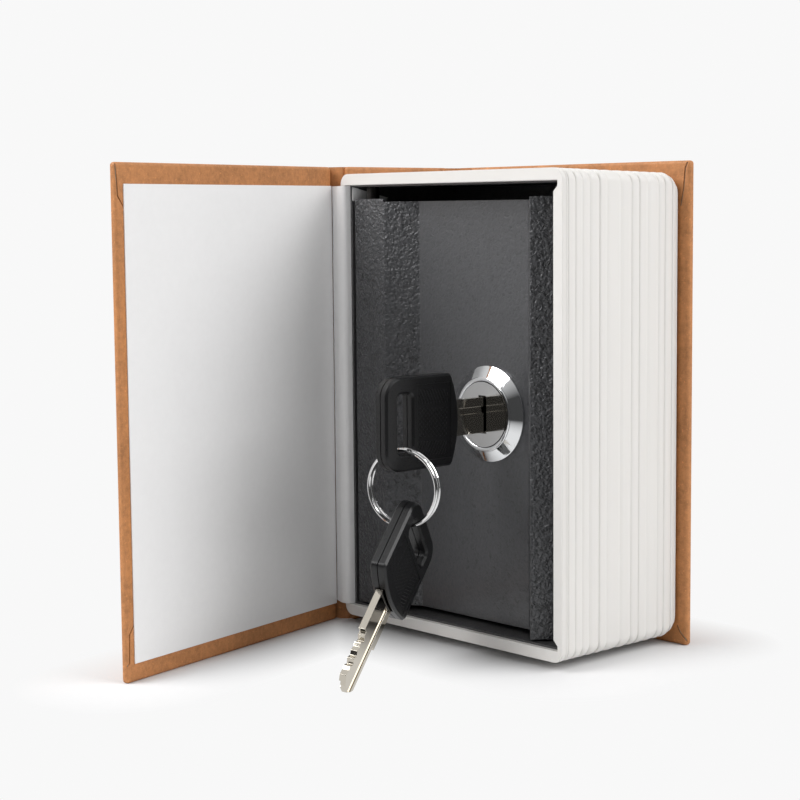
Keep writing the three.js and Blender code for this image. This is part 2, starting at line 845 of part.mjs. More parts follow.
function makeWafer(at) {
  const plate = boxOnAxis(waferHalfWidth, waferHalfHeight, at, at + waferThickness);
  return plate.subtract(boxOnAxis(waferWindow, waferWindowHeight, at - past, at + waferThickness + past));
}

// Cam that hangs from the tail while the door is unlocked
function makeCam() {
  const arm = new THREE.Shape();
  const half = camWidth / 2;
  const endTurn = Math.asin(half / camReach);
  const hubTurn = Math.asin(half / camHub);
  arm.absarc(lockX, lockZ, camHub, -Math.PI / 2 + hubTurn, (Math.PI * 3) / 2 - hubTurn, false);
  arm.absarc(lockX, lockZ, camReach, -Math.PI / 2 - endTurn, -Math.PI / 2 + endTurn, false);
  const hole = tailSquare + camHoleClear;
  return frontOn(arm, camFront, camBack).subtract(boxOnAxis(hole, hole, camFront - past, camBack + past));
}

function makeCamWasher() {
  const front = camBack + seatGap;
  const back = front + camWasherThickness;
  return cylinderY(camWasherRadius, front, back, lockX, lockZ, 32).subtract(
    cylinderY(screwRadius + rivetClear, front - past, back + past, lockX, lockZ, 24),
  );
}

function makeCamScrew() {
  const seat = camBack + camWasherThickness + 2 * seatGap;
  const end = seat + screwHeadHeight;
  const screw = turnedY(
    [
      [0, camBack - screwDepth],
      [screwRadius, camBack - screwDepth],
      [screwRadius, seat],
      [screwHead, seat],
      [screwHead, seat + screwHeadHeight * 0.5],
      [screwHead * 0.6, end],
      [0, end],
    ],
    lockX,
    lockZ,
    24,
  );
  const slot = screwHead * 0.6;
  const width = screwRadius * 0.3;
  const bottom = seat + screwHeadHeight * 0.45;
  const cross = boxOnAxis(slot, width, bottom, end + past).add(boxOnAxis(width, slot, bottom, end + past));
  return screw.subtract(cross);
}

// Key shapes stand in their own frame: Y from the bow's outer end to the tip, Z across, X through
function bowOutline() {
  const half = bowWidth / 2;
  const shape = new THREE.Shape();
  shape.moveTo(bowCorner, -half);
  shape.lineTo(bowLength - bowInnerCorner, -half);
  shape.quadraticCurveTo(bowLength, -half, bowLength + bowBulge * 0.15, -half + bowInnerCorner);
  shape.quadraticCurveTo(bowEnd + bowBulge * 0.85, 0, bowLength + bowBulge * 0.15, half - bowInnerCorner);
  shape.quadraticCurveTo(bowLength, half, bowLength - bowInnerCorner, half);
  shape.lineTo(bowCorner, half);
  shape.absarc(bowCorner, half - bowCorner, bowCorner, Math.PI / 2, Math.PI, false);
  shape.absarc(bowCorner, -half + bowCorner, bowCorner, Math.PI, Math.PI * 1.5, false);
  return shape;
}

function slotOutline(wider) {
  const along = slotWidth / 2 + wider;
  const across = slotLength / 2 + wider;
  return roundedRectangle(slotCentre - along, slotCentre + along, -across, across, slotCorner + wider);
}

// The slot through a bow, with its mouths flared
function makeSlot() {
  const mouth = slotFlare + past;
  const flare = sideOn(slotOutline(mouth), 2 * mouth + past, mouth);
  const offset = bowThickness / 2 - slotFlare + mouth + past / 2;
  return union([
    sideOn(slotOutline(0), bowThickness + 2 * past, 0),
    flare.translate([offset, 0, 0]),
    flare.translate([-offset, 0, 0]),
  ]);
}

// Both shells of a bow, right one first
function makeBowShells() {
  const outline = bowOutline();
  const tangHalf = shankHeight / 2 + tangClear;
  const pocketHalf = bladeThickness / 2 + tangClear;
  const pocket = box(-pocketHalf, pocketHalf, tangStart - tangClear, bowEnd + past, -tangHalf, tangHalf);
  const face = bowThickness / 2 - gripDepth;
  const grips = [-1, 1].map((side) =>
    box(side * face, side * (face + past), gripStart, gripEnd, -gripWidth / 2, gripWidth / 2),
  );
  const bow = sideOn(outline, bowThickness, bowChamfer).subtract(union([makeSlot(), pocket, ...grips]));
  return [1, -1].map((side) => {
    const half = box((side * shellSeam) / 2, side * bowThickness, -past, bowEnd + past, -bowWidth, bowWidth);
    return bow.intersect(half);
  });
}

function makeBlade() {
  const shank = shankHeight / 2;
  const blade = bladeHeight / 2;
  const lower = [];
  for (let i = 0; i < cutCount; i++) {
    const middle = shoulderAt + (i + 0.9) * cutPitch;
    const floor = -blade + cutDepth * (0.55 + 0.45 * Math.cos(i * cutUnevenness));
    lower.push([middle - cutPitch * 0.42, -blade], [middle - cutPitch * 0.06, floor]);
    lower.push([middle + cutPitch * 0.06, floor], [middle + cutPitch * 0.42, -blade]);
  }
  const outline = polygon([
    [tangStart, -shank],
    [shoulderAt, -shank],
    [shoulderAt, -blade],
    ...lower,
    [tipAt - tipChamfer, -blade],
    [tipAt, -blade + tipChamfer],
    [tipAt, blade - tipChamfer],
    [tipAt - tipChamfer, blade],
    [shoulderAt, blade],
    [shoulderAt, shank],
    [tangStart, shank],
  ]);
  const face = bladeThickness / 2;
  const grooves = [1, -1].map((side) =>
    box(
      side * (face - grooveDepth),
      side * (face + past),
      bowEnd + past,
      tipAt + past,
      side * grooveOffset - grooveWidth / 2,
      side * grooveOffset + grooveWidth / 2,
    ),
  );
  return sideOn(outline, bladeThickness, 0).subtract(union(grooves));
}

function addKey(group, prefix) {
  const [rightShell, leftShell] = makeBowShells();
  place(group, prefix + "_bow_right_shell", rightShell, blackPlastic);
  place(group, prefix + "_bow_left_shell", leftShell, blackPlastic);
  place(group, prefix + "_blade", makeBlade(), nickel);
}

// Centre line of the split ring, about its own Y axis: two turns side by side, joined by one slanted step
class SplitRingCurve extends THREE.Curve {
  getPoint(t) {
    const turn = coilEnd + t * (720 - 2 * coilEnd);
    const raw = (turn - 360 + coilStep) / (2 * coilStep);
    const step = THREE.MathUtils.smoothstep(raw, 0, 1);
    const angle = turn * degrees;
    return new THREE.Vector3(
      ringMiddle * Math.sin(angle),
      coilPitch * (step - 0.5),
      -ringMiddle * Math.cos(angle),
    );
  }
}

// Least gap between stretches of the wire that lie more than a quarter turn apart along it
function leastSelfGap(curve) {
  const count = 400;
  const points = Array.from({ length: count + 1 }, (_, i) => curve.getPoint(i / count));
  const apart = Math.round(count / 8);
  let least = Infinity;
  for (let i = 0; i <= count; i++) {
    for (let j = i + apart; j <= count; j++) least = Math.min(least, points[i].distanceTo(points[j]));
  }
  return least - wireDiameter;
}

function makeSplitRing() {
  const curve = new SplitRingCurve();
  console.log("split ring: least gap to itself " + leastSelfGap(curve).toFixed(2) + " mm");
  const section = polygon(
    Array.from({ length: wireSides }, (_, i) => {
      const turn = (i * 2 * Math.PI) / wireSides;
      return [(wireDiameter / 2) * Math.cos(turn), (wireDiameter / 2) * Math.sin(turn)];
    }),
  );
  return solid(new THREE.ExtrudeGeometry(section, { steps: 2 * ringSteps, extrudePath: curve, bevelEnabled: false }));
}

// The case: page block, back cover and spine, which carry everything else
const caseGroup = new THREE.Group();
place(caseGroup, "page_frame", makePageFrame(), pagePlastic);
place(caseGroup, "safe_box", makeSafeBox(), boxPaint);
rivetPlaces().forEach(([x, z], i) => place(caseGroup, "box_rivet_" + (i + 1), makeRivet(x, z), plainSteel));
place(caseGroup, "door_stop_angle", makeDoorStop(), boxPaint);
place(caseGroup, "upper_hinge_pin", makeUpperPin(), plainSteel);
place(caseGroup, "lower_hinge_pin", makeLowerPin(), plainSteel);
place(caseGroup, "back_board", coverBoard(coverStart, coverEdge, backInner, backOuter), board);
place(caseGroup, "spine_board", makeSpineBoard(), board);
place(caseGroup, "case_paper", makeCasePaper(), kraft);
const backEndpaper = box(
  sideWall,
  blockWidth - backRound,
  backInner - pasteGap - paperThickness,
  backInner - pasteGap,
  endpaperBottom,
  bookHeight - endpaperTop,
);
place(caseGroup, "back_endpaper", backEndpaper, whitePaper);
place(caseGroup, "front_joint_kraft", makeJointKraft(), kraft);
place(caseGroup, "front_joint_endpaper", makeJointEndpaper(), whitePaper);

// The front cover turns about the fold line, and is drawn closed round it
const frontCover = new THREE.Group();
frontCover.position.set(hingeX, hingeY, 0);
frontCover.rotation.z = -coverOpenAngle * degrees;
const closedCover = new THREE.Group();
closedCover.position.set(-hingeX, -hingeY, 0);
frontCover.add(closedCover);
const frontOuter = frontInner - coverThickness;
place(closedCover, "front_board", coverBoard(coverStart, coverEdge, frontInner, frontOuter), board);
place(closedCover, "front_cover_paper", coverWrap(coverStart, coverEdge, frontInner, frontOuter), kraft);
const frontEndpaper = box(
  coverStart,
  coverEdge - endpaperFore,
  frontInner + pasteGap,
  frontInner + pasteGap + paperThickness,
  endpaperBottom,
  bookHeight - endpaperTop,
);
place(closedCover, "front_endpaper", frontEndpaper, whitePaper);

// Door with its lock
const door = new THREE.Group();
place(door, "door_panel", makeDoor(), doorPaint);
place(door, "lock_housing", makeLockHousing(), chrome);
place(door, "lock_washer", makeLockWasher(), plainSteel);
place(door, "lock_nut", makeLockNut(), plainSteel);

const plug = new THREE.Group();
door.add(plug);
place(plug, "lock_plug", makePlug(), plainSteel);
waferPlaces().forEach((at, i) => place(plug, "wafer_" + (i + 1), makeWafer(at), brass));
place(plug, "lock_cam", makeCam(), plainSteel);
place(plug, "cam_washer", makeCamWasher(), plainSteel);
place(plug, "cam_screw", makeCamScrew(), plainSteel);

const key = new THREE.Group();
key.position.set(lockX, keyStart, lockZ);
plug.add(key);
addKey(key, "key");

// The ring hangs in the key's slot, its inside just above the slot's lower edge
const ringHang = ringOffset + (bowThickness / 2 - slotFlare) / Math.cos(ringTurn * degrees);
const ringDrop = Math.sqrt(ringInner ** 2 - ringHang ** 2);
const ring = new THREE.Group();
ring.position.set(
  ringOffset * Math.cos(ringTurn * degrees),
  slotCentre + ringOffset * Math.sin(ringTurn * degrees),
  slotBottom + ringClear - ringDrop - lockZ,
);
ring.rotation.z = ringTurn * degrees;
key.add(ring);
place(ring, "split_ring", makeSplitRing(), plainSteel);

// The spare key hangs on the ring by a corner of its slot, turned until its tip is just off the surface
const hangHeight = Math.sqrt(ringMiddle ** 2 - spareOffset ** 2);
const wireZ = lockZ + ring.position.z - hangHeight;
const hangAlong = slotCentre - slotWidth / 2 + spareSeat;
const hangAcross = -slotLength / 2 + spareSeat;
const tipAlong = tipAt - hangAlong;
const tipAcross = bladeHeight / 2 - tipChamfer - hangAcross;
const tipReach = Math.hypot(tipAlong, tipAcross);
const tipHeight = wireZ - floorClear - Math.sin(spareRoll * degrees) * (bladeThickness / 2);
const tipTurn = Math.PI - Math.asin(tipHeight / Math.cos(spareRoll * degrees) / tipReach);
const spareTilt = -tipTurn - Math.atan2(tipAcross, tipAlong);
const spareHook = new THREE.Group();
spareHook.position.set(spareOffset, 0, -hangHeight);
spareHook.rotation.set(spareTilt, spareRoll * degrees, (spareTurn - ringTurn) * degrees, "ZYX");
ring.add(spareHook);
const spareKey = new THREE.Group();
spareKey.position.set(0, -hangAlong, -hangAcross);
spareHook.add(spareKey);
addKey(spareKey, "spare_key");

const book = new THREE.Group();
book.position.set(-originX, -originY, 0);
book.add(caseGroup, frontCover, door);

const part = new THREE.Group();
part.add(book);

export default part;
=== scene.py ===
import json
import math

import bmesh
import bpy
from bpy.props import FloatProperty, FloatVectorProperty, IntProperty, PointerProperty
from mathutils import Matrix, Vector


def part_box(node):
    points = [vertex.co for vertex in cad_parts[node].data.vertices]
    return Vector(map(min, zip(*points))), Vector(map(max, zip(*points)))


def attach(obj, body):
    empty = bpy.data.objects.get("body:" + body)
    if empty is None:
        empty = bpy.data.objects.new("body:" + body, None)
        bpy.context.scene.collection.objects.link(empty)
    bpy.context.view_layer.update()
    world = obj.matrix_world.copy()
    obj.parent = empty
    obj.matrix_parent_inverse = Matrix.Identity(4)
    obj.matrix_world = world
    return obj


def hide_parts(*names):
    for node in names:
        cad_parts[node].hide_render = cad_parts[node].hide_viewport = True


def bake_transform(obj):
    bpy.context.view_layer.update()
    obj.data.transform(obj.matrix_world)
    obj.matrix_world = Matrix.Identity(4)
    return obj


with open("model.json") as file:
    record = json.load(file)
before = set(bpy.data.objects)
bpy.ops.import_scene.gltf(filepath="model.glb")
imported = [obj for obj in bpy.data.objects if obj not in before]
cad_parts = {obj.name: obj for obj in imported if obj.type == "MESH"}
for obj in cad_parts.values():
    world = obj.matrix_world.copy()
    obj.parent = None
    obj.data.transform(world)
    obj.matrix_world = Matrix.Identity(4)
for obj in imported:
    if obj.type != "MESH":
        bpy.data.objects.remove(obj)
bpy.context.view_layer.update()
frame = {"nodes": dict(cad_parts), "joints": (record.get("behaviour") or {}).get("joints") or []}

bl_info = {
    "name": "Book Diversion Safe",
    "version": (1, 0, 0),
    "blender": (4, 5, 0),
    "location": "3D View > Sidebar > Book Safe",
    "description": "Dresses a small book safe: covers, moulded page block, painted door, cam lock and keys",
    "category": "Object",
}

MM = 0.001

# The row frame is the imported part's own. The book frame has X from the page block's spine side, Y from
# its front rim and Z up from the surface.
BLOCK_LOW, BLOCK_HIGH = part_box("page_frame")
ROW = Matrix.Identity(4)
BOOK = Matrix.Translation((BLOCK_LOW.x, BLOCK_LOW.y, 0))
BLOCK_WIDTH = BLOCK_HIGH.x - BLOCK_LOW.x
BLOCK_DEPTH = BLOCK_HIGH.y - BLOCK_LOW.y
BACK_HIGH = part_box("case_paper")[1]
HEAD_LOW, HEAD_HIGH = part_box("lock_housing")
LOCK_X = (HEAD_LOW.x + HEAD_HIGH.x) / 2 - BLOCK_LOW.x
LOCK_Z = (HEAD_LOW.z + HEAD_HIGH.z) / 2

# The recessed flat down the middle of the door, in the row frame
DOOR_FLAT_HALF = 18.3 * MM
DOOR_MIDDLE = BLOCK_LOW.x + 40 * MM

# Places of the covers in the book frame, the front cover's when it is closed
SPINE_INNER = -0.3 * MM
SPINE_FRONT = 3.4 * MM
COVER_START = -0.36 * MM
COVER_WRAP_START = -0.68 * MM
BACK_INNER = BLOCK_DEPTH + 0.45 * MM
SPINE_BACK = BACK_INNER - 4 * MM

# The joint papers stop this far inside the covers' ends, and the front joint's strips have this many rows of
# faces
PAPER_END_GAP = 0.02 * MM
JOINT_ROWS = 12

# Widths of the page-like ridges from front to back, as shares of their room
RIDGE_WIDTHS = (0.8, 2.3, 2, 2.4, 3.1, 2.3, 4.2, 3.7, 2.5, 2.6, 3.6, 2.3, 2.4, 1.3)

# A ridge's outline from front to back: shares of its width, and of the groove's depth
RIDGE_SHAPE = (
    (0.06, 0.7), (0.14, 0.36), (0.25, 0.12), (0.4, 0.0), (0.6, 0.04),
    (0.76, 0.16), (0.88, 0.38), (0.95, 0.66), (1.0, 1.0),
)

# Where folded paper meets at the covers' corners, as X and Z in mm
BACK_SEAMS = (
    ((76.3, 114.6), (75.7, 113.2), (75.3, 108.8), (74.4, 104.5)),
    ((74.2, 4.6), (75.0, 3.2), (76.6, 1.7), (77.2, 0.6)),
)
FRONT_SEAMS = (
    ((77.0, 115.2), (76.75, 114.2), (76.4, 107.6), (74.8, 105.4)),
    ((74.6, 13.0), (76.1, 11.0), (76.3, 4.6), (77.1, 3.6)),
)

# The camera's place in the row frame, and how it is turned, in degrees
CAMERA_PLACE = Vector((0.30856, -0.33826, 0.10367))
CAMERA_YAW, CAMERA_PITCH, CAMERA_ROLL = 47.69, 5.89, -0.53

# The way to the dim side of the room, and the place that the lights look at
DIM_WAY = (0.67, -0.74, 0.0)
LIT_PLACE = Vector((0.0, -0.02, 0.055))


# Sizes and colours that a user would change

def length(name, about, default):
    return FloatProperty(name=name, description=about, default=default, unit="LENGTH", precision=5)


def colour(name, about, default):
    return FloatVectorProperty(name=name, description=about, default=default, size=3, subtype="COLOR")


def amount(name, about, default, unit="NONE"):
    return FloatProperty(name=name, description=about, default=default, min=0, unit=unit)


class CoverSizes(bpy.types.PropertyGroup):
    height: length("Height", "Height of both covers", BACK_HIGH.z)
    fore_edge: length("Fore-edge", "Outer edge of both covers from the spine side", BACK_HIGH.x - BLOCK_LOW.x)
    thickness: length("Thickness", "Board with its paper", 1.94 * MM)
    edge_radius: length("Edge radius", "Rounding of the wrapped edges", 0.75 * MM)
    front_gap: length("Front gap", "Closed front cover to the rim", 0.6 * MM)
    open_angle: amount("Open angle", "How far the front cover stands open", math.radians(77), "ROTATION")
    paper: length("Paper", "Thickness of the papers", 0.12 * MM)
    kraft: colour("Kraft", "Colour of the kraft paper", (0.45, 0.187, 0.062))
    endpaper: colour("Endpaper", "Colour of the endpapers", (0.79, 0.785, 0.785))


class BlockSizes(bpy.types.PropertyGroup):
    bottom: length("Bottom", "Front rim above the surface", BLOCK_LOW.z)
    top: length("Top", "Front rim's top edge", BLOCK_HIGH.z)
    corner: length("Corner", "Radius of the four corners", 2.6 * MM)
    draft: length("Draft", "How far the top slopes down towards the back", 0.9 * MM)
    ridge_depth: length("Ridge depth", "Depth of the grooves between ridges at the fore-edge", 0.34 * MM)
    end_round: length("End rounding", "Rounding of the top and bottom towards the back", 4 * MM)
    ridge_ends: amount("Ridge ends", "How much deeper the grooves are at the top and bottom", 2.2)
    plastic: colour("Plastic", "Colour of the moulding", (0.69, 0.673, 0.65))


class DoorSizes(bpy.types.PropertyGroup):
    bend_radius: length("Bend radius", "Outer radius of the sheet's bends", 0.55 * MM)
    paint: colour("Paint", "Colour of the door's hammered paint", (0.062, 0.063, 0.067))
    box_paint: colour("Box paint", "Colour of the box's paint", (0.075, 0.074, 0.076))


class LockSizes(bpy.types.PropertyGroup):
    ring_radius: length("Ring radius", "Raised ring round the plug", 8.45 * MM)
    bore: length("Bore", "Radius of the plug's bore", 7.83 * MM)
    turned_sides: IntProperty(name="Sides", description="Steps round a turned piece", default=96, min=24)
    chrome: colour("Chrome", "Colour of the plating", (0.78, 0.79, 0.80))


class KeySizes(bpy.types.PropertyGroup):
    wire: length("Wire", "Diameter of the split ring's wire", 0.87 * MM)
    ring_radius: length("Ring radius", "Radius of the wire's centre line", 8.65 * MM)
    coil_pitch: length("Coil pitch", "Distance between the ring's two turns", 1.32 * MM)
    blade_share: amount("Blade share", "Thickness of the blades as a share of the CAD's", 0.82)
    nickel: colour("Nickel", "Colour of the key blades", (0.56, 0.52, 0.45))
    bow: colour("Bow", "Colour of the key bows", (0.005, 0.005, 0.0055))


class StageSettings(bpy.types.PropertyGroup):
    backdrop: amount("Backdrop", "Brightness of the backdrop where it is seen", 0.94)
    dim_side: amount("Dim side", "Brightness of the room opposite the backdrop, as metal shows it", 0.06)
    ambient: amount("Ambient", "Light from all round", 0.5)
    side_power: amount("Side light", "Power of the side light", 4.7, "POWER")
    front_power: amount("Front light", "Power of the front light", 5.6, "POWER")
    lens: FloatProperty(
        name="Lens",
        description="Focal length on a 36 mm frame",
        default=82.03 * MM,
        subtype="DISTANCE_CAMERA",
    )


def settings():
    """The scene, which holds the property groups."""
    return bpy.context.scene


# Shader wiring

class Wiring:
    """One shader tree, with short ways to add nodes and wire them."""

    def __init__(self, tree):
        self.tree = tree

    def add(self, kind, inputs=None, **options):
        node = self.tree.nodes.new(kind)
        for name, value in options.items():
            setattr(node, name, value)
        for name, value in (inputs or {}).items():
            self.feed(node.inputs[name], value)
        return node

    def feed(self, socket, value):
        if isinstance(value, bpy.types.NodeSocket):
            self.tree.links.new(value, socket)
        else:
            socket.default_value = value

    def place(self):
        return self.add("ShaderNodeTexCoord").outputs["Object"]

    def noise(self, vector, scale, detail=4.0, roughness=0.5, distortion=0.0):
        inputs = {"Vector": vector, "Scale": scale, "Detail": detail, "Roughness": roughness}
        node = self.add("ShaderNodeTexNoise", inputs)
        self.feed(node.inputs["Distortion"], distortion)
        return node.outputs["Fac"]

    def math(self, operation, first, second=0.0):
        node = self.add("ShaderNodeMath", operation=operation)
        self.feed(node.inputs[0], first)
        self.feed(node.inputs[1], second)
        return node.outputs[0]

    def vector_math(self, operation, first, second=(0, 0, 0)):
        node = self.add("ShaderNodeVectorMath", {0: first, 1: second}, operation=operation)
        return node.outputs["Value" if operation in ("DOT_PRODUCT", "LENGTH") else "Vector"]

    def times(self, first, second):
        return self.math("MULTIPLY", first, second)

    def span(self, value, low, high, to_low=0.0, to_high=1.0):
        inputs = {"Value": value, "From Min": low, "From Max": high, "To Min": to_low, "To Max": to_high}
        return self.add("ShaderNodeMapRange", inputs).outputs["Result"]

    def blend(self, share, first, second):
        """Two colours mixed; a Mix node takes colours at inputs 6 and 7 and gives one at output 2."""
        node = self.add("ShaderNodeMix", data_type="RGBA")
        self.feed(node.inputs[0], share)
        self.feed(node.inputs[6], first)
        self.feed(node.inputs[7], second)
        return node.outputs[2]

    def stretch(self, vector, scale, turn=(0, 0, 0)):
        inputs = {"Vector": vector, "Scale": scale, "Rotation": turn}
        return self.add("ShaderNodeMapping", inputs).outputs["Vector"]

    def bump(self, height, strength, distance, normal=None):
        inputs = {"Height": height, "Strength": strength, "Distance": distance}
        if normal is not None:
            inputs["Normal"] = normal
        return self.add("ShaderNodeBump", inputs).outputs["Normal"]

    def use(self, group, vector, scale=None):
        node = self.add("ShaderNodeGroup", {"Vector": vector}, node_tree=group)
        if scale:
            node.inputs["Scale"].default_value = scale
        return node.outputs


def shade(colour, factor):
    return (colour[0] * factor, colour[1] * factor, colour[2] * factor, 1.0)


def effect(name, outputs, wire, scale=None):
    """A shader node group of values, built once and used by several materials."""
    found = bpy.data.node_groups.get(name)
    if found:
        return found
    group = bpy.data.node_groups.new(name, "ShaderNodeTree")
    group.interface.new_socket("Vector", in_out="INPUT", socket_type="NodeSocketVector")
    if scale:
        socket = group.interface.new_socket("Scale", in_out="INPUT", socket_type="NodeSocketFloat")
        socket.default_value = scale
    for label in outputs:
        group.interface.new_socket(label, in_out="OUTPUT", socket_type="NodeSocketFloat")
    wiring = Wiring(group)
    entry = wiring.add("NodeGroupInput")
    leave = wiring.add("NodeGroupOutput")
    for label, value in wire(wiring, entry.outputs).items():
        wiring.feed(leave.inputs[label], value)
    return group


def paper_fibres():
    """Mottling, pale specks and short fibres of uncoated paper."""

    def wire(w, given):
        vector, scale = given["Vector"], given["Scale"]
        cloud = w.noise(vector, w.times(scale, 0.06), 5.0, 0.6)
        blotch = w.noise(vector, w.times(scale, 0.5), 5.0, 0.65)
        long_x = w.stretch(vector, (0.35, 1.0, 2.2), (0.0, 0.5, 0.2))
        long_z = w.stretch(vector, (2.2, 1.0, 0.35), (0.3, -0.4, 0.0))
        fibre = w.math(
            "MAXIMUM",
            w.noise(long_x, w.times(scale, 1.3), 3.0, 0.6, 0.6),
            w.noise(long_z, w.times(scale, 1.5), 3.0, 0.6, 0.6),
        )
        fleck = w.noise(vector, w.times(scale, 1.1), 2.0, 0.4, 0.3)
        mottle = w.math("ADD", w.times(cloud, 0.45), w.times(blotch, 0.55))
        return {
            "Mottle": w.span(mottle, 0.36, 0.64),
            "Fibres": w.span(fibre, 0.5, 0.8),
            "Flecks": w.span(fleck, 0.66, 0.78),
            "Height": w.math("ADD", w.times(fibre, 0.7), w.times(blotch, 0.5)),
        }

    return effect("Paper Fibres", ("Mottle", "Fibres", "Flecks", "Height"), wire, 1000.0)


def metal_handling():
    """Smudges and fine scratches of a handled metal surface."""

    def wire(w, given):
        vector, scale = given["Vector"], given["Scale"]
        smudge = w.noise(vector, w.times(scale, 0.12), 4.0, 0.6, 0.4)
        across = w.stretch(vector, (9.0, 1.0, 0.5), (0.0, 0.35, 0.3))
        along = w.stretch(vector, (0.5, 1.0, 9.0), (0.2, 0.0, -0.5))
        scratch = w.math("MAXIMUM", w.noise(across, scale, 2.0, 0.5), w.noise(along, scale, 2.0, 0.5))
        grain = w.noise(vector, w.times(scale, 6.0), 2.0, 0.6)
        return {
            "Smudges": w.span(smudge, 0.38, 0.66),
            "Scratches": w.span(scratch, 0.64, 0.74),
            "Grain": grain,
        }

    return effect("Metal Handling", ("Smudges", "Scratches", "Grain"), wire, 600.0)


def hammered_paint():
    """Bumps of hammered paint, from fine orange peel to full hammer marks."""

    def wire(w, given):
        vector, scale = given["Vector"], given["Scale"]
        wander = w.add("ShaderNodeTexNoise", {"Vector": vector, "Scale": w.times(scale, 0.8)})
        shift = w.add("ShaderNodeVectorMath", operation="MULTIPLY_ADD")
        w.feed(shift.inputs[0], wander.outputs["Color"])
        w.feed(shift.inputs[1], (0.0012, 0.0012, 0.0012))
        w.feed(shift.inputs[2], vector)
        cells = w.add(
            "ShaderNodeTexVoronoi",
            {"Vector": shift.outputs[0], "Scale": scale, "Smoothness": 0.35},
            feature="SMOOTH_F1",
        )
        peel = w.noise(vector, w.times(scale, 1.7), 3.0, 0.5)
        marks = w.span(cells.outputs["Distance"], 0.15, 0.75)
        swirl = w.noise(shift.outputs[0], w.times(scale, 0.7), 1.0, 0.4, 1.1)
        line = w.span(w.math("ABSOLUTE", w.math("SUBTRACT", swirl, 0.5)), 0.012, 0.05, 1.0, 0.0)
        broken = w.span(w.noise(vector, w.times(scale, 0.55), 1.0), 0.44, 0.56)
        patches = w.span(w.noise(vector, w.times(scale, 0.03), 2.0), 0.36, 0.6, 0.25, 1.0)
        creases = w.times(w.times(line, broken), patches)
        return {"Marks": marks, "Peel": peel, "Creases": creases}

    return effect("Hammered Paint", ("Marks", "Peel", "Creases"), wire, 900.0)


def moulded_skin():
    """Fine grain and faint flow marks of moulded plastic."""

    def wire(w, given):
        vector, scale = given["Vector"], given["Scale"]
        grain = w.noise(vector, scale, 3.0, 0.55)
        flow = w.noise(w.stretch(vector, (1.0, 1.0, 0.25)), w.times(scale, 0.03), 3.0, 0.5, 0.8)
        return {"Grain": grain, "Flow": w.span(flow, 0.35, 0.65)}

    return effect("Moulded Skin", ("Grain", "Flow"), wire, 3000.0)


# Materials

def finish_named(name, build):
    """A material by name, built the first time."""
    found = bpy.data.materials.get(name)
    if found:
        return found
    made = bpy.data.materials.new(name)
    made.use_nodes = True
    made.node_tree.nodes.clear()
    wiring = Wiring(made.node_tree)
    output = wiring.add("ShaderNodeOutputMaterial")
    shader = wiring.add("ShaderNodeBsdfPrincipled")
    wiring.feed(output.inputs["Surface"], shader.outputs["BSDF"])
    for label, value in build(wiring).items():
        wiring.feed(shader.inputs[label], value)
    return made


def kraft_paper():
    base = settings().safe_covers.kraft

    def build(w):
        fibres = w.use(paper_fibres(), w.place(), 1500.0)
        ground = w.blend(fibres["Mottle"], shade(base, 0.68), shade(base, 1.18))
        streaked = w.blend(w.times(fibres["Fibres"], 0.55), ground, shade(base, 1.42))
        return {
            "Base Color": w.blend(w.times(fibres["Flecks"], 0.6), streaked, shade(base, 1.75)),
            "Roughness": w.span(fibres["Mottle"], 0.0, 1.0, 0.66, 0.5),
            "Specular IOR Level": 0.5,
            "Normal": w.bump(fibres["Height"], 0.35, 0.0001),
        }

    return finish_named("Kraft Paper", build)


def white_endpaper():
    base = settings().safe_covers.endpaper

    def build(w):
        fibres = w.use(paper_fibres(), w.place(), 1100.0)
        ground = w.blend(fibres["Mottle"], shade(base, 0.985), shade(base, 1.012))
        return {
            "Base Color": w.blend(w.times(fibres["Fibres"], 0.15), ground, shade(base, 1.03)),
            "Roughness": w.span(fibres["Mottle"], 0.0, 1.0, 0.82, 0.7),
            "Specular IOR Level": 0.3,
            "Normal": w.bump(fibres["Height"], 0.12, 0.0001),
        }

    return finish_named("White Endpaper", build)


def grey_board():
    def build(w):
        fibres = w.use(paper_fibres(), w.place(), 900.0)
        ground = w.blend(fibres["Mottle"], (0.2, 0.17, 0.135, 1.0), (0.36, 0.315, 0.25, 1.0))
        return {
            "Base Color": w.blend(fibres["Flecks"], ground, (0.5, 0.45, 0.38, 1.0)),
            "Roughness": 0.92,
            "Normal": w.bump(fibres["Height"], 0.5, 0.0002),
        }

    return finish_named("Grey Board", build)


def page_plastic():
    base = settings().safe_block.plastic

    def build(w):
        skin = w.use(moulded_skin(), w.place(), 2600.0)
        return {
            "Base Color": w.blend(skin["Flow"], shade(base, 0.992), shade(base, 1.008)),
            "Roughness": w.span(skin["Grain"], 0.3, 0.7, 0.4, 0.52),
            "Specular IOR Level": 0.45,
            "Subsurface Weight": 0.06,
            "Subsurface Radius": (0.002, 0.0018, 0.0015),
            "Subsurface Scale": 0.4,
            "Normal": w.bump(skin["Grain"], 0.08, 0.00005),
        }

    return finish_named("Page Plastic", build)


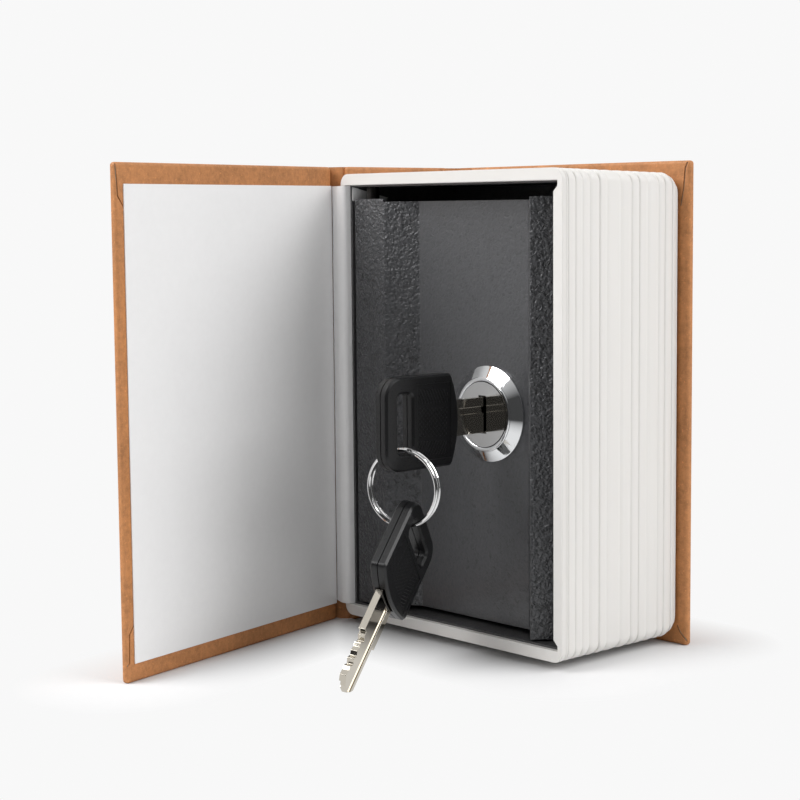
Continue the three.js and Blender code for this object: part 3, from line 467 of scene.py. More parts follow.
def painted_steel(name, base, marks_depth, roughness, flat_half=None):
    """Hammered paint with painted shade in the hollows and creases of its marks; with a half width given, its
    marks are deeper and its creases darker outside the flat middle of the door.
    """

    def build(w):
        place = w.place()
        paint = w.use(hammered_paint(), place, 1150.0)
        skin = w.use(moulded_skin(), place, 5200.0)
        rough_and_shaded = 0.0
        if flat_half:
            across = w.add("ShaderNodeSeparateXYZ", {"Vector": place}).outputs["X"]
            off = w.math("ABSOLUTE", w.math("SUBTRACT", across, DOOR_MIDDLE))
            rough_and_shaded = w.span(off, flat_half - 0.3 * MM, flat_half + 0.3 * MM)
        # Painted shade: the hollows between the hammer marks are darker and their domes lighter, and the
        # creases are painted near black, most of all outside the flat middle of the door.
        valley_shade = w.times(w.math("SUBTRACT", 1.0, paint["Marks"]), 0.5)
        ground = w.blend(valley_shade, shade(base, 1.12), shade(base, 0.84))
        crease_shade = w.times(paint["Creases"], w.span(rough_and_shaded, 0.0, 1.0, 0.45, 0.85))
        swollen = w.math("ADD", w.times(paint["Marks"], 0.8), w.times(paint["Peel"], 0.5))
        raised = w.math("SUBTRACT", swollen, w.times(paint["Creases"], 0.9))
        strength = w.span(rough_and_shaded, 0.0, 1.0, marks_depth, 1.0)
        return {
            "Base Color": w.blend(crease_shade, ground, shade(base, 0.3)),
            "Metallic": 0.25,
            "Roughness": w.span(skin["Grain"], 0.3, 0.7, roughness - 0.05, roughness + 0.07),
            "Coat Weight": 0.35,
            "Coat Roughness": 0.16,
            "Normal": w.bump(raised, strength, w.span(rough_and_shaded, 0.0, 1.0, 0.0002, 0.0004)),
        }

    return finish_named(name, build)


def door_paint():
    return painted_steel("Door Paint", settings().safe_door.paint, 0.3, 0.36, DOOR_FLAT_HALF)


def box_paint():
    return painted_steel("Box Paint", settings().safe_door.box_paint, 0.3, 0.42)


def bare_metal(name, base, roughness, scratches, scale, grain):
    def build(w):
        marks = w.use(metal_handling(), w.place(), scale)
        dull = w.blend(w.times(marks["Smudges"], 0.35), shade(base, 1.0), shade(base, 0.86))
        rough = w.span(marks["Smudges"], 0.0, 1.0, roughness * 0.8, roughness * 1.35)
        height = w.math("ADD", w.times(marks["Grain"], grain), w.times(marks["Scratches"], -0.4))
        return {
            "Base Color": w.blend(w.times(marks["Scratches"], 0.3), dull, shade(base, 1.1)),
            "Metallic": 1.0,
            "Roughness": w.math("ADD", rough, w.times(marks["Scratches"], scratches)),
            "Normal": w.bump(height, 0.25, 0.00002),
        }

    return finish_named(name, build)


# Base colour, roughness, how much rougher the scratches are, scale of the marks, height of the grain
METALS = {
    "Zinc Steel": ((0.55, 0.56, 0.56), 0.34, 0.1, 800.0, 0.5),
    # The hinge pins' steel is near black as painted shade, so that the upper pin stays as dark as the shadow
    # in the gap above the door.
    "Pin Steel Dark As Shade": ((0.035, 0.033, 0.032), 0.42, 0.1, 800.0, 0.4),
    "Wafer Brass": ((0.6, 0.45, 0.19), 0.32, 0.1, 900.0, 0.4),
    "Plug Steel": ((0.6, 0.6, 0.6), 0.12, 0.08, 500.0, 0.0),
    "Ring Steel": ((0.8, 0.8, 0.8), 0.07, 0.06, 900.0, 0.0),
}


def metal(name):
    return bare_metal(name, *METALS[name])


def lock_chrome():
    return bare_metal("Lock Chrome", settings().safe_lock.chrome, 0.06, 0.05, 420.0, 0.0)


def key_nickel():
    return bare_metal("Key Nickel", settings().safe_keys.nickel, 0.07, 0.07, 500.0, 0.05)


def bow_relief():
    """Raised hatching down both sides of a bow's face, with rows of dots between them."""

    def wire(w, given):
        parts = w.add("ShaderNodeSeparateXYZ", {"Vector": given["Vector"]}).outputs
        along = parts["X"]
        aside = w.math("ABSOLUTE", parts["Y"])
        inside = w.times(w.span(along, 10.2, 10.4), w.span(along, 19.0, 19.2, 1.0, 0.0))
        slant = w.math("ADD", along, w.times(aside, 0.55))
        wave = w.math("SINE", w.times(slant, 7.0))
        bars = w.times(w.span(aside, 4.3, 4.5), w.span(aside, 7.3, 7.5, 1.0, 0.0))
        hatch = w.times(w.span(wave, -0.1, 0.5), bars)
        rows = w.math("SINE", w.times(along, 5.2))
        columns = w.math("SINE", w.times(parts["Y"], 5.2))
        dots = w.span(w.times(rows, columns), 0.35, 0.7)
        middle = w.times(dots, w.span(aside, 3.1, 3.3, 1.0, 0.0))
        return {"Height": w.times(w.math("MAXIMUM", hatch, middle), inside)}

    return effect("Bow Relief", ("Height",), wire)


def bow_plastic():
    base = settings().safe_keys.bow

    def build(w):
        skin = w.use(moulded_skin(), w.place(), 3600.0)
        plan = w.add("ShaderNodeUVMap", uv_map="Key Plan").outputs["UV"]
        in_mm = w.stretch(plan, (25.0, 25.0, 1.0))
        raised = w.use(bow_relief(), in_mm)["Height"]
        grained = w.bump(skin["Grain"], 0.25, 0.00006)
        return {
            "Base Color": w.blend(skin["Flow"], shade(base, 0.85), shade(base, 1.25)),
            "Roughness": w.span(skin["Grain"], 0.3, 0.7, 0.26, 0.4),
            "Specular IOR Level": 0.38,
            "Normal": w.bump(raised, 1.0, 0.0007, grained),
        }

    return finish_named("Bow Plastic", build)


FINISHES = {
    "kraft_paper": kraft_paper,
    "endpaper": white_endpaper,
    "page_plastic": page_plastic,
    "door_paint": door_paint,
    "lock_chrome": lock_chrome,
    "ring_steel": lambda: metal("Ring Steel"),
    "key_nickel": key_nickel,
    "bow_plastic": bow_plastic,
}


# Mesh making

def mesh_from(bm, name):
    mesh = bpy.data.meshes.new(name)
    bm.to_mesh(mesh)
    bm.free()
    return mesh


def linked(name, data):
    """An object in the scene."""
    made = bpy.data.objects.new(name, data)
    bpy.context.scene.collection.objects.link(made)
    return made


def discard(thing):
    """Removes an object and its mesh or curve."""
    data = thing.data
    bpy.data.objects.remove(thing)
    (bpy.data.curves if isinstance(data, bpy.types.Curve) else bpy.data.meshes).remove(data)


def verts_of(geometry):
    return [part for part in geometry if isinstance(part, bmesh.types.BMVert)]


def drawn_out(corners, shift):
    """A closed body from the corners of a flat face, drawn out along a shift."""
    bm = bmesh.new()
    face = bm.faces.new([bm.verts.new(corner) for corner in corners])
    grown = bmesh.ops.extrude_face_region(bm, geom=[face], use_keep_orig=True)["geom"]
    bmesh.ops.translate(bm, vec=shift, verts=verts_of(grown))
    return bm


def block(low, high):
    """A box between two corners, as a bmesh."""
    low, high = Vector(low), Vector(high)
    bm = bmesh.new()
    size = Matrix.Diagonal((*(high - low), 1.0))
    bmesh.ops.create_cube(bm, size=1.0, matrix=Matrix.Translation((low + high) / 2) @ size)
    return bm


def round_edges(bm, edges, radius, segments):
    bmesh.ops.bevel(
        bm,
        geom=edges,
        offset=radius,
        offset_type="OFFSET",
        segments=segments,
        profile=0.5,
        affect="EDGES",
        clamp_overlap=True,
        material=-1,
    )


def shade_by_angle(bm, angle):
    for face in bm.faces:
        face.smooth = True
    for edge in bm.edges:
        edge.smooth = len(edge.link_faces) == 2 and edge.calc_face_angle(0.0) < angle


def corner_normals(bm):
    """A normal for each corner, weighted by face area in its smooth patch, so that wide flats stay flat."""
    bm.normal_update()
    bm.verts.index_update()
    bm.faces.index_update()
    areas = [face.calc_area() for face in bm.faces]
    found = {}
    for vert in bm.verts:
        left = set(vert.link_faces)
        while left:
            patch = [left.pop()]
            for face in patch:
                for edge in face.edges:
                    if edge.smooth and vert in edge.verts:
                        beyond = [other for other in edge.link_faces if other in left]
                        left.difference_update(beyond)
                        patch.extend(beyond)
            total = sum((face.normal * areas[face.index] for face in patch), Vector())
            for face in patch:
                found[face.index, vert.index] = total.normalized()
    return [found[face.index, loop.vert.index] for face in bm.faces for loop in face.loops]


def add_piece(bm, name, body, slot, nodes=(), angle=math.radians(35), place=BOOK):
    """A finished piece from a bmesh, riding on its body and standing for its CAD nodes."""
    bmesh.ops.transform(bm, matrix=place, verts=bm.verts)
    bmesh.ops.recalc_face_normals(bm, faces=bm.faces)
    shade_by_angle(bm, angle)
    normals = corner_normals(bm)
    mesh = mesh_from(bm, name)
    mesh.materials.append(FINISHES[slot]())
    piece = linked(name, mesh)
    if body:
        mesh.normals_split_custom_set(normals)
        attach(piece, body)
    if nodes:
        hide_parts(*nodes)
    return piece


def cad_copy(node):
    """A bmesh copy of a CAD node, with its triangles merged into flat faces."""
    bm = bmesh.new()
    bm.from_mesh(frame["nodes"][node].data)
    bmesh.ops.remove_doubles(bm, verts=bm.verts, dist=0.000002)
    flat = math.radians(1.0)
    bmesh.ops.dissolve_limit(bm, angle_limit=flat, verts=bm.verts, edges=bm.edges, delimit={"NORMAL"})
    return bm


def sharp_edges(bm, angle=math.radians(25)):
    return [edge for edge in bm.edges if len(edge.link_faces) == 2 and edge.calc_face_angle(0.0) > angle]


def turned(profile, sides):
    """A closed body turned round the Y axis from [radius, place] points; the ends on the axis close it."""
    bm = bmesh.new()
    ring = [bm.verts.new((radius, at, 0)) for radius, at in profile]
    edges = [bm.edges.new(pair) for pair in zip(ring, ring[1:])]
    bmesh.ops.spin(
        bm,
        geom=ring + edges,
        cent=(0, 0, 0),
        axis=(0, 1, 0),
        angle=math.tau,
        steps=sides,
        use_merge=True,
        use_duplicate=False,
    )
    bmesh.ops.remove_doubles(bm, verts=bm.verts, dist=0.000001)
    return bm


def finish_cad(names, material):
    """Gives a material to the CAD nodes that show as they are."""
    for name in names:
        node = frame["nodes"][name]
        node.data.materials.clear()
        node.data.materials.append(material)


# The page block

def ridge_profile(sizes):
    """Where the ridges lie from front to back, with how far the sides are sunk at each place."""
    band, side_round = 1.3 * MM, 0.9 * MM
    usual, uneven = 0.72, 0.28
    places = [(0.1 * MM, 0.1 * MM), (0.3 * MM, 0.0), (band, 0.0)]
    room = BLOCK_DEPTH - side_round - band
    at = band
    for i, width in enumerate(RIDGE_WIDTHS):
        step = width / sum(RIDGE_WIDTHS) * room
        sunk = sizes.ridge_depth * (usual + uneven * math.cos(i * 1.7))
        places += [(at + step * share, sunk * deep) for share, deep in RIDGE_SHAPE]
        at += step
    for i in range(1, 7):
        turn = math.radians(15 * i)
        places.append((at + side_round * math.sin(turn), side_round * (1 - math.cos(turn))))
    return places


def end_depth(sizes, at, sunk):
    """How far the top and bottom are sunk where the sides are sunk so far."""
    along = min(max(at - BLOCK_DEPTH + sizes.end_round, 0), sizes.end_round)
    rounding = sizes.end_round - math.sqrt(sizes.end_round ** 2 - along ** 2)
    return min(sunk, sizes.ridge_depth) * sizes.ridge_ends + rounding


def page_block_outside(sizes):
    """The ridged moulding, drawn back from its front face in steps."""
    height = sizes.top - sizes.bottom
    start, chamfer = 0.02 * MM, 0.6 * MM
    bm = block((0, 0, sizes.bottom), (BLOCK_WIDTH, start, sizes.top))
    corners = [e for e in bm.edges if abs(e.verts[0].co.y - e.verts[1].co.y) > start / 2]
    round_edges(bm, corners, sizes.corner, 8)
    back = max(bm.faces, key=lambda face: face.calc_center_median().y)
    front = min(bm.faces, key=lambda face: face.calc_center_median().y)
    middle = Vector((BLOCK_WIDTH / 2, 0, (sizes.top + sizes.bottom) / 2))
    share = Vector((1 - chamfer / BLOCK_WIDTH, 1, 1 - chamfer / height))
    bmesh.ops.scale(bm, vec=share, space=Matrix.Translation(-middle), verts=front.verts)
    sunk_before = deep_before = 0.0
    for at, sunk in ridge_profile(sizes):
        grown = bmesh.ops.extrude_discrete_faces(bm, faces=[back])["faces"]
        back = grown[0]
        bmesh.ops.translate(bm, vec=(0, at - back.verts[0].co.y, 0), verts=back.verts)
        deep = end_depth(sizes, at, sunk)
        step = Vector((
            (BLOCK_WIDTH / 2 - sunk) / (BLOCK_WIDTH / 2 - sunk_before),
            1,
            (height / 2 - deep) / (height / 2 - deep_before),
        ))
        bmesh.ops.scale(bm, vec=step, space=Matrix.Translation(-middle), verts=back.verts)
        sunk_before, deep_before = sunk, deep
    for vert in bm.verts:
        vert.co.z -= sizes.draft * vert.co.y / BLOCK_DEPTH * (vert.co.z - sizes.bottom) / height
    return bm


def cut_away(bm, cutters, name):
    """The bmesh with other closed bmeshes cut out of it."""
    target = linked(name, mesh_from(bm, name))
    tools = []
    for i, cutter in enumerate(cutters):
        bmesh.ops.recalc_face_normals(cutter, faces=cutter.faces)
        tool = linked(f"{name}_cut_{i}", mesh_from(cutter, f"{name}_cut_{i}"))
        modifier = target.modifiers.new(tool.name, "BOOLEAN")
        modifier.operation = "DIFFERENCE"
        modifier.solver = "EXACT"
        modifier.object = tool
        tools.append(tool)
    bpy.context.view_layer.update()
    evaluated = target.evaluated_get(bpy.context.evaluated_depsgraph_get())
    result = bmesh.new()
    result.from_mesh(evaluated.to_mesh())
    evaluated.to_mesh_clear()
    for thing in [*tools, target]:
        discard(thing)
    return result


def prism(points, y0, y1):
    """A closed body from an outline in X and Z, drawn from y0 back to y1."""
    bm = drawn_out([(x, y0, z) for x, z in points], (0, y1 - y0, 0))
    bmesh.ops.recalc_face_normals(bm, faces=bm.faces)
    return bm


class SAFE_OT_page_block(bpy.types.Operator):
    """Moulded page block with its ridges, rim and cavity"""

    bl_idname = "book_safe.page_block"
    bl_label = "Page Block"

    def execute(self, context):
        sizes = context.scene.safe_block
        wall, lip, rail, rim = 1.5 * MM, 0.6 * MM, 1.2 * MM, 1.4 * MM
        low, high = sizes.bottom + 2.1 * MM, sizes.top - 2.2 * MM
        left, right = wall, BLOCK_WIDTH - wall
        relief, step = 2.4 * MM, 1.2 * MM
        side = [
            (right, low + lip),
            (right, low + lip + step),
            (right - rail, low + lip + relief),
            (right - rail, high - lip - relief),
            (right, high - lip - step),
            (right, high - lip),
        ]
        other = [(left, high - lip), (left, low + lip)]
        opening = prism(side + other, -1 * MM, rim + 1 * MM)
        cavity = block((left, rim, low), (right, BLOCK_DEPTH - 1.8 * MM, high))
        cutters = [opening, cavity]
        shank, head = 1.65 * MM, 2.55 * MM
        start, seat, end = 37.5 * MM, 39.5 * MM, 41.5 * MM
        hole = [(0, start), (shank, start), (shank, seat), (head, seat), (head, end), (0, end)]
        for node in ("box_rivet_1", "box_rivet_2", "box_rivet_3", "box_rivet_4"):
            near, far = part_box(node)
            centre = (near + far) / 2 - BOOK.translation
            bore = turned(hole, 32)
            bmesh.ops.translate(bore, vec=(centre.x, 0, centre.z), verts=bore.verts)
            cutters.append(bore)
        shell = cut_away(page_block_outside(sizes), cutters, "page_block_shell")
        rim_edges = [
            edge
            for edge in sharp_edges(shell, math.radians(40))
            if all(abs(vert.co.y) < 0.001 * MM for vert in edge.verts)
        ]
        round_edges(shell, rim_edges, 0.22 * MM, 3)
        add_piece(shell, "page_block", "case", "page_plastic", ["page_frame"], math.radians(50))
        return {"FINISHED"}


# The covers

def wrapped_board(x0, x1, y0, y1, sizes):
    """A board in its paper, with rounded edges."""
    bm = block((x0, y0, 0), (x1, y1, sizes.height))
    round_edges(bm, list(bm.edges), sizes.edge_radius, 5)
    return bm


def seamed_board(sizes, y0, y1, paths, cut, width, name):
    """A cover's wrapped board, with its seams cut in from one depth to another."""
    board = wrapped_board(COVER_WRAP_START, sizes.fore_edge, y0, y1, sizes)
    return cut_away(board, [fold_seam(path, *cut, width) for path in paths], name)


def joint_named(name):
    return next(joint for joint in frame["joints"] if joint["name"] == name)


def opened_place(sizes):
    """Where the closed front cover goes when it is open, in the row frame."""
    hinge = Vector(joint_named("front_cover_hinge")["pos_m"])
    hinge.z = 0
    turn = Matrix.Rotation(-sizes.open_angle, 4, "Z")
    return Matrix.Translation(hinge) @ turn @ Matrix.Translation(-hinge) @ BOOK


def fold_seam(path, y0, y1, width):
    """A narrow cutter along a seam's path."""
    points = [Vector(point) * MM for point in path]
    left, right = [], []
    for i, point in enumerate(points):
        along = (points[min(i + 1, len(points) - 1)] - points[max(i - 1, 0)]).normalized()
        side = Vector((-along.y, along.x)) * (width / 2)
        left.append(tuple(point + side))
        right.append(tuple(point - side))
    return prism(left + right[::-1], y0, y1)


class SAFE_OT_covers(bpy.types.Operator):
    """Back cover, spine and front cover in kraft paper"""

    bl_idname = "book_safe.covers"
    bl_label = "Covers"

    def execute(self, context):
        sizes = context.scene.safe_covers
        outer = BACK_INNER + sizes.thickness
        cut = (BACK_INNER - MM, BACK_INNER + 0.5 * MM)
        back = seamed_board(sizes, BACK_INNER, outer, BACK_SEAMS, cut, 0.4 * MM, "back_cover_shell")
        add_piece(back, "back_cover_kraft", "case", "kraft_paper", ["case_paper"])
        past_board = 0.5 * MM
        ends = (SPINE_FRONT - past_board, SPINE_BACK + past_board)
        spine = wrapped_board(SPINE_INNER - sizes.thickness, SPINE_INNER, *ends, sizes)
        add_piece(spine, "spine_kraft", "case", "kraft_paper")
        self.joint(sizes)
        self.lining(sizes)
        face = -sizes.front_gap
        outer = face - sizes.thickness
        cut = (face - 0.45 * MM, face + MM)
        front = seamed_board(sizes, outer, face, FRONT_SEAMS, cut, 0.3 * MM, "front_cover_shell")
        place = opened_place(sizes)
        nodes = ["front_cover_paper"]
        add_piece(front, "front_cover_kraft", "front_cover", "kraft_paper", nodes, place=place)
        return {"FINISHED"}

    def lining(self, sizes):
        """Turned-in paper inside the joint, from the spine round to the back cover."""
        clear = 0.07 * MM
        side = SPINE_INNER + clear
        behind = BACK_INNER - clear
        corner = 3.2 * MM
        path = curve_points([(side, behind - corner), (side, behind), (side + corner, behind)], 10)
        path = [(side, behind - 6 * MM)] + path + [(side + 5 * MM, behind)]
        bm = strip(path, 0.1 * MM, sizes.height - 0.1 * MM, -sizes.paper, 1)
        add_piece(bm, "joint_lining_kraft", "case", "kraft_paper")

    def joint(self, sizes):
        """The paper between spine and back cover, pressed into a shallow groove."""
        spine_outer = SPINE_INNER - sizes.thickness
        outer = BACK_INNER + sizes.thickness
        lap = 1.2 * MM
        points = []
        for i in range(17):
            turn = math.radians(90 * i / 16)
            bulge = 1 - 0.09 * math.sin(2 * turn) ** 2
            across = (COVER_START - spine_outer) * math.cos(turn) * bulge
            along = (outer - SPINE_BACK) * math.sin(turn) * bulge
            points.append((COVER_START - across, SPINE_BACK + along))
        points = [(spine_outer, SPINE_BACK - lap)] + points + [(COVER_START + lap, outer)]
        bm = strip(points, PAPER_END_GAP, sizes.height - PAPER_END_GAP, -sizes.paper, 1)
        add_piece(bm, "back_joint_kraft", "case", "kraft_paper")


def strip(points, low, high, thickness, rows):
    """A thin upright strip that follows a line of plan points, its thickness to the left of it."""
    bm = bmesh.new()
    verts = [bm.verts.new((x, y, low)) for x, y in points]
    edges = [bm.edges.new(pair) for pair in zip(verts, verts[1:])]
    for _ in range(rows):
        grown = bmesh.ops.extrude_edge_only(bm, edges=edges)["geom"]
        raised = verts_of(grown)
        edges = [g for g in grown if isinstance(g, bmesh.types.BMEdge) and set(g.verts) <= set(raised)]
        bmesh.ops.translate(bm, vec=(0, 0, (high - low) / rows), verts=raised)
    along = Vector((points[1][0] - points[0][0], points[1][1] - points[0][1], 0))
    left = Vector((-along.y, along.x, 0))
    bm.normal_update()
    bmesh.ops.recalc_face_normals(bm, faces=bm.faces)
    first = verts[0].link_faces[0]
    first.normal_update()
    if first.normal.dot(left) > 0:
        bmesh.ops.reverse_faces(bm, faces=bm.faces)
    bmesh.ops.solidify(bm, geom=bm.faces[:], thickness=thickness)
    return bm


def curve_points(controls, count):
    """Points along a Bezier curve of two, three or four plan points."""
    points = []
    for i in range(count + 1):
        t = i / count
        level = [Vector(point) for point in controls]
        while len(level) > 1:
            level = [first.lerp(second, t) for first, second in zip(level, level[1:])]
        points.append(tuple(level[0]))
    return points


class SAFE_OT_cover_joint(bpy.types.Operator):
    """Kraft and white paper curved between spine and front cover"""

    bl_idname = "book_safe.cover_joint"
    bl_label = "Cover Joint"

    def execute(self, context):
        sizes = context.scene.safe_covers
        to_book = BOOK.inverted() @ opened_place(sizes)
        clear = 0.25 * MM
        lap, tuck, inside = 1.2 * MM, 1.4 * MM, 0.8 * MM
        sunk = 0.1 * MM

        def opened(x, y):
            return tuple((to_book @ Vector((x, y, 0))).xy)

        outer = -sizes.front_gap - sizes.thickness
        spine_outer = SPINE_INNER - sizes.thickness
        start = Vector((spine_outer + sunk, SPINE_FRONT - clear))
        end = Vector(opened(COVER_START - clear, outer + sunk))
        along = end - Vector(opened(COVER_START - clear - lap, outer + sunk))
        points = curve_points([end, end - along, start - Vector((0, lap)), start], 16)
        points = [opened(COVER_START + tuck, outer + inside)] + points
        points.append((spine_outer + inside, SPINE_FRONT + tuck))
        kraft = strip(points, PAPER_END_GAP, sizes.height - PAPER_END_GAP, sizes.paper, JOINT_ROWS)
        piece = add_piece(kraft, "front_joint_kraft_paper", None, "kraft_paper", ["front_joint_kraft"])
        self.bend(piece, start, end)
        inner_start = Vector((-1.2 * MM, -0.5 * MM))
        inner_end = Vector(opened(COVER_START - clear, -sizes.front_gap + 0.2 * MM))
        crown = Vector((-0.2 * MM, -0.74 * MM))
        beside_rail = 1.85 * MM
        roll = [(beside_rail, 1.2 * MM), (beside_rail, -0.3 * MM), (1.3 * MM, crown.y), crown]
        points = [(beside_rail, 3.3 * MM), (beside_rail, 2.2 * MM)] + curve_points(roll, 16)
        points += curve_points([crown, crown - Vector((0.6 * MM, 0)), inner_start, inner_end], 16)[1:]
        block_sizes = context.scene.safe_block
        low, high = block_sizes.bottom + 2.8 * MM, block_sizes.top - 2.9 * MM
        white = strip(points, low, high, -sizes.paper, JOINT_ROWS)
        piece = add_piece(white, "front_joint_endpaper_strip", None, "endpaper", ["front_joint_endpaper"])
        self.bend(piece, inner_start, inner_end)
        self.tab(high, sizes.paper)
        return {"FINISHED"}

    def tab(self, high, thickness):
        """A torn end of the white paper, pasted to the box's wall above the door."""
        box_wall, paste = 0.8 * MM, 0.02 * MM
        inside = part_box("safe_box")[0].x - BLOCK_LOW.x + box_wall + paste
        # Places back from the rim and down from the strip's top, in mm
        outline = [(1.7, 0.3), (13.5, 2.9), (12.5, 3.5), (1.7, 3.7)]
        bm = drawn_out([(inside, y * MM, high - down * MM) for y, down in outline], (thickness, 0, 0))
        add_piece(bm, "front_joint_endpaper_tab", "case", "endpaper")

    def bend(self, piece, start, end):
        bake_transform(piece)


class SAFE_OT_endpapers(bpy.types.Operator):
    """White endpapers pasted inside both covers, and the boards"""

    bl_idname = "book_safe.endpapers"
    bl_label = "Endpapers and Boards"

    def execute(self, context):
        sizes = context.scene.safe_covers
        inner = -sizes.front_gap
        bm = block(
            (COVER_START, inner + 0.01 * MM, 4.2 * MM),
            (sizes.fore_edge - 2.2 * MM, inner + 0.32 * MM, sizes.height - 4.7 * MM),
        )
        round_edges(bm, list(bm.edges), 0.1 * MM, 2)
        place = opened_place(sizes)
        add_piece(bm, "front_endpaper_sheet", "front_cover", "endpaper", ["front_endpaper"], place=place)
        finish_cad(["back_endpaper"], white_endpaper())
        finish_cad(["front_board", "back_board", "spine_board"], grey_board())
        return {"FINISHED"}


class SAFE_OT_steel_box(bpy.types.Operator):
    """Steel box with its door stop, rivets and hinge pins"""

    bl_idname = "book_safe.steel_box"
    bl_label = "Steel Box"

    def execute(self, context):
        finish_cad(["safe_box", "door_stop_angle"], box_paint())
        # The hinge pins get the near-black steel that stands in for the shade above the door.
        finish_cad(["upper_hinge_pin", "lower_hinge_pin"], metal("Pin Steel Dark As Shade"))
        finish_cad([f"box_rivet_{i}" for i in (1, 2, 3, 4)], metal("Zinc Steel"))
        return {"FINISHED"}


class SAFE_OT_door(bpy.types.Operator):
    """Folded steel door with its rounded bends"""

    bl_idname = "book_safe.door"
    bl_label = "Door"

    def execute(self, context):
        sizes = context.scene.safe_door
        bm = cad_copy("door_panel")
        shortest, upright = 80 * MM, 0.99
        bends = []
        for edge in sharp_edges(bm):
            along = edge.verts[0].co - edge.verts[1].co
            if along.length > shortest and abs(along.normalized().z) > upright:
                bends.append(edge)
        round_edges(bm, bends, sizes.bend_radius, 4)
        add_piece(bm, "door_sheet", "door", "door_paint", ["door_panel"], place=ROW)
        return {"FINISHED"}


class SAFE_OT_lock(bpy.types.Operator):
    """Cam lock with its plug, wafers, nut and cam"""

    bl_idname = "book_safe.lock"
    bl_label = "Cam Lock"

    def execute(self, context):
        sizes = context.scene.safe_lock
        front = HEAD_LOW.y - BLOCK_LOW.y
        radius = (HEAD_HIGH.z - HEAD_LOW.z) / 2
        back = front + 2.4 * MM
        end = HEAD_HIGH.y - BLOCK_LOW.y
        bore, ring = sizes.bore, sizes.ring_radius
        profile = [
            (bore, end - 3.4 * MM), (bore, front + 0.2 * MM), (bore + 0.12 * MM, front + 0.05 * MM),
            (bore + 0.28 * MM, front), (ring - 0.05 * MM, front), (ring + 0.22 * MM, front + 0.07 * MM),
            (ring + 0.38 * MM, front + 0.24 * MM), (ring + 0.4 * MM, front + 0.4 * MM),
            (radius - 0.25 * MM, back - 0.55 * MM), (radius - 0.06 * MM, back - 0.42 * MM),
            (radius, back - 0.26 * MM), (radius, back), (9.3 * MM, back), (9.3 * MM, end - 0.3 * MM),
            (9.0 * MM, end), (5.53 * MM, end), (5.53 * MM, end - 3.4 * MM), (bore, end - 3.4 * MM),
        ]
        bm = turned(profile, sizes.turned_sides)
        bmesh.ops.translate(bm, vec=(LOCK_X, 0, LOCK_Z), verts=bm.verts)
        flat, past, thread = 8.7 * MM, 12 * MM, back + 0.01 * MM
        low, high = LOCK_Z - past, LOCK_Z + past
        cutters = [
            block((LOCK_X + flat, thread, low), (LOCK_X + past, end + MM, high)),
            block((LOCK_X - past, thread, low), (LOCK_X - flat, end + MM, high)),
        ]
        bm = cut_away(bm, cutters, "lock_shell")
        add_piece(bm, "lock_cylinder", "door", "lock_chrome", ["lock_housing"])
        zinc_plated = ["lock_washer", "lock_nut", "lock_cam", "cam_washer", "cam_screw"]
        finish_cad(zinc_plated, metal("Zinc Steel"))
        finish_cad(["lock_plug"], metal("Plug Steel"))
        finish_cad([f"wafer_{i}" for i in (1, 2, 3, 4)], metal("Wafer Brass"))
        return {"FINISHED"}


def middle_of(bm):
    low = Vector(min(vert.co[i] for vert in bm.verts) for i in range(3))
    high = Vector(max(vert.co[i] for vert in bm.verts) for i in range(3))
    return (low + high) / 2


def mean_of(bm):
    return sum((vert.co for vert in bm.verts), Vector()) / len(bm.verts)


def key_plan(first, second, blade):
    """From the row frame to a key's own: X from the bow's outer end to the tip, Z through its thickness."""
    bow_mean = (mean_of(first) + mean_of(second)) / 2
    along = mean_of(blade) - bow_mean
    through = mean_of(first) - mean_of(second)
    through.normalize()
    along = (along - through * along.dot(through)).normalized()
    across = through.cross(along)
    turn = Matrix((along, across, through)).to_4x4()
    middle = (middle_of(first) + middle_of(second)) / 2
    plan = turn @ Matrix.Translation(-middle)
    start = min((plan @ vert.co).x for bm in (first, second) for vert in bm.verts)
    return Matrix.Translation((-start, 0, 0)) @ plan


def lay_key_plan(bm, plan):
    """A map of a bow's outer faces, one unit for 25 mm; all other faces lie outside its pattern."""
    layer = bm.loops.layers.uv.new("Key Plan")
    through = plan.to_3x3().row[2]
    for face in bm.faces:
        flat = abs(face.normal.dot(through)) > 0.9
        for loop in face.loops:
            place = plan @ loop.vert.co
            loop[layer].uv = (place.x / (25 * MM), place.y / (25 * MM)) if flat else (-1, -1)


class SAFE_OT_keys(bpy.types.Operator):
    """Both keys, with nickel blades and black moulded bows"""

    bl_idname = "book_safe.keys"
    bl_label = "Keys"

    def execute(self, context):
        sizes = context.scene.safe_keys
        for body, prefix in (("key", "key"), ("spare_key", "spare_key")):
            halves = [cad_copy(f"{prefix}_bow_{side}_shell") for side in ("right", "left")]
            blade = cad_copy(f"{prefix}_blade")
            plan = key_plan(*halves, blade)
            for side, bm in zip(("right", "left"), halves):
                node = f"{prefix}_bow_{side}_shell"
                round_edges(bm, sharp_edges(bm, math.radians(30)), 0.12 * MM, 2)
                lay_key_plan(bm, plan)
                add_piece(bm, f"{prefix}_bow_{side}_half", body, "bow_plastic", [node], place=ROW)
            node = f"{prefix}_blade"
            thin = Matrix.Diagonal((1, 1, sizes.blade_share, 1))
            bmesh.ops.transform(blade, matrix=plan.inverted() @ thin @ plan, verts=blade.verts)
            round_edges(blade, sharp_edges(blade, math.radians(30)), 0.08 * MM, 2)
            add_piece(blade, f"{node}_stamping", body, "key_nickel", [node], place=ROW)
        return {"FINISHED"}


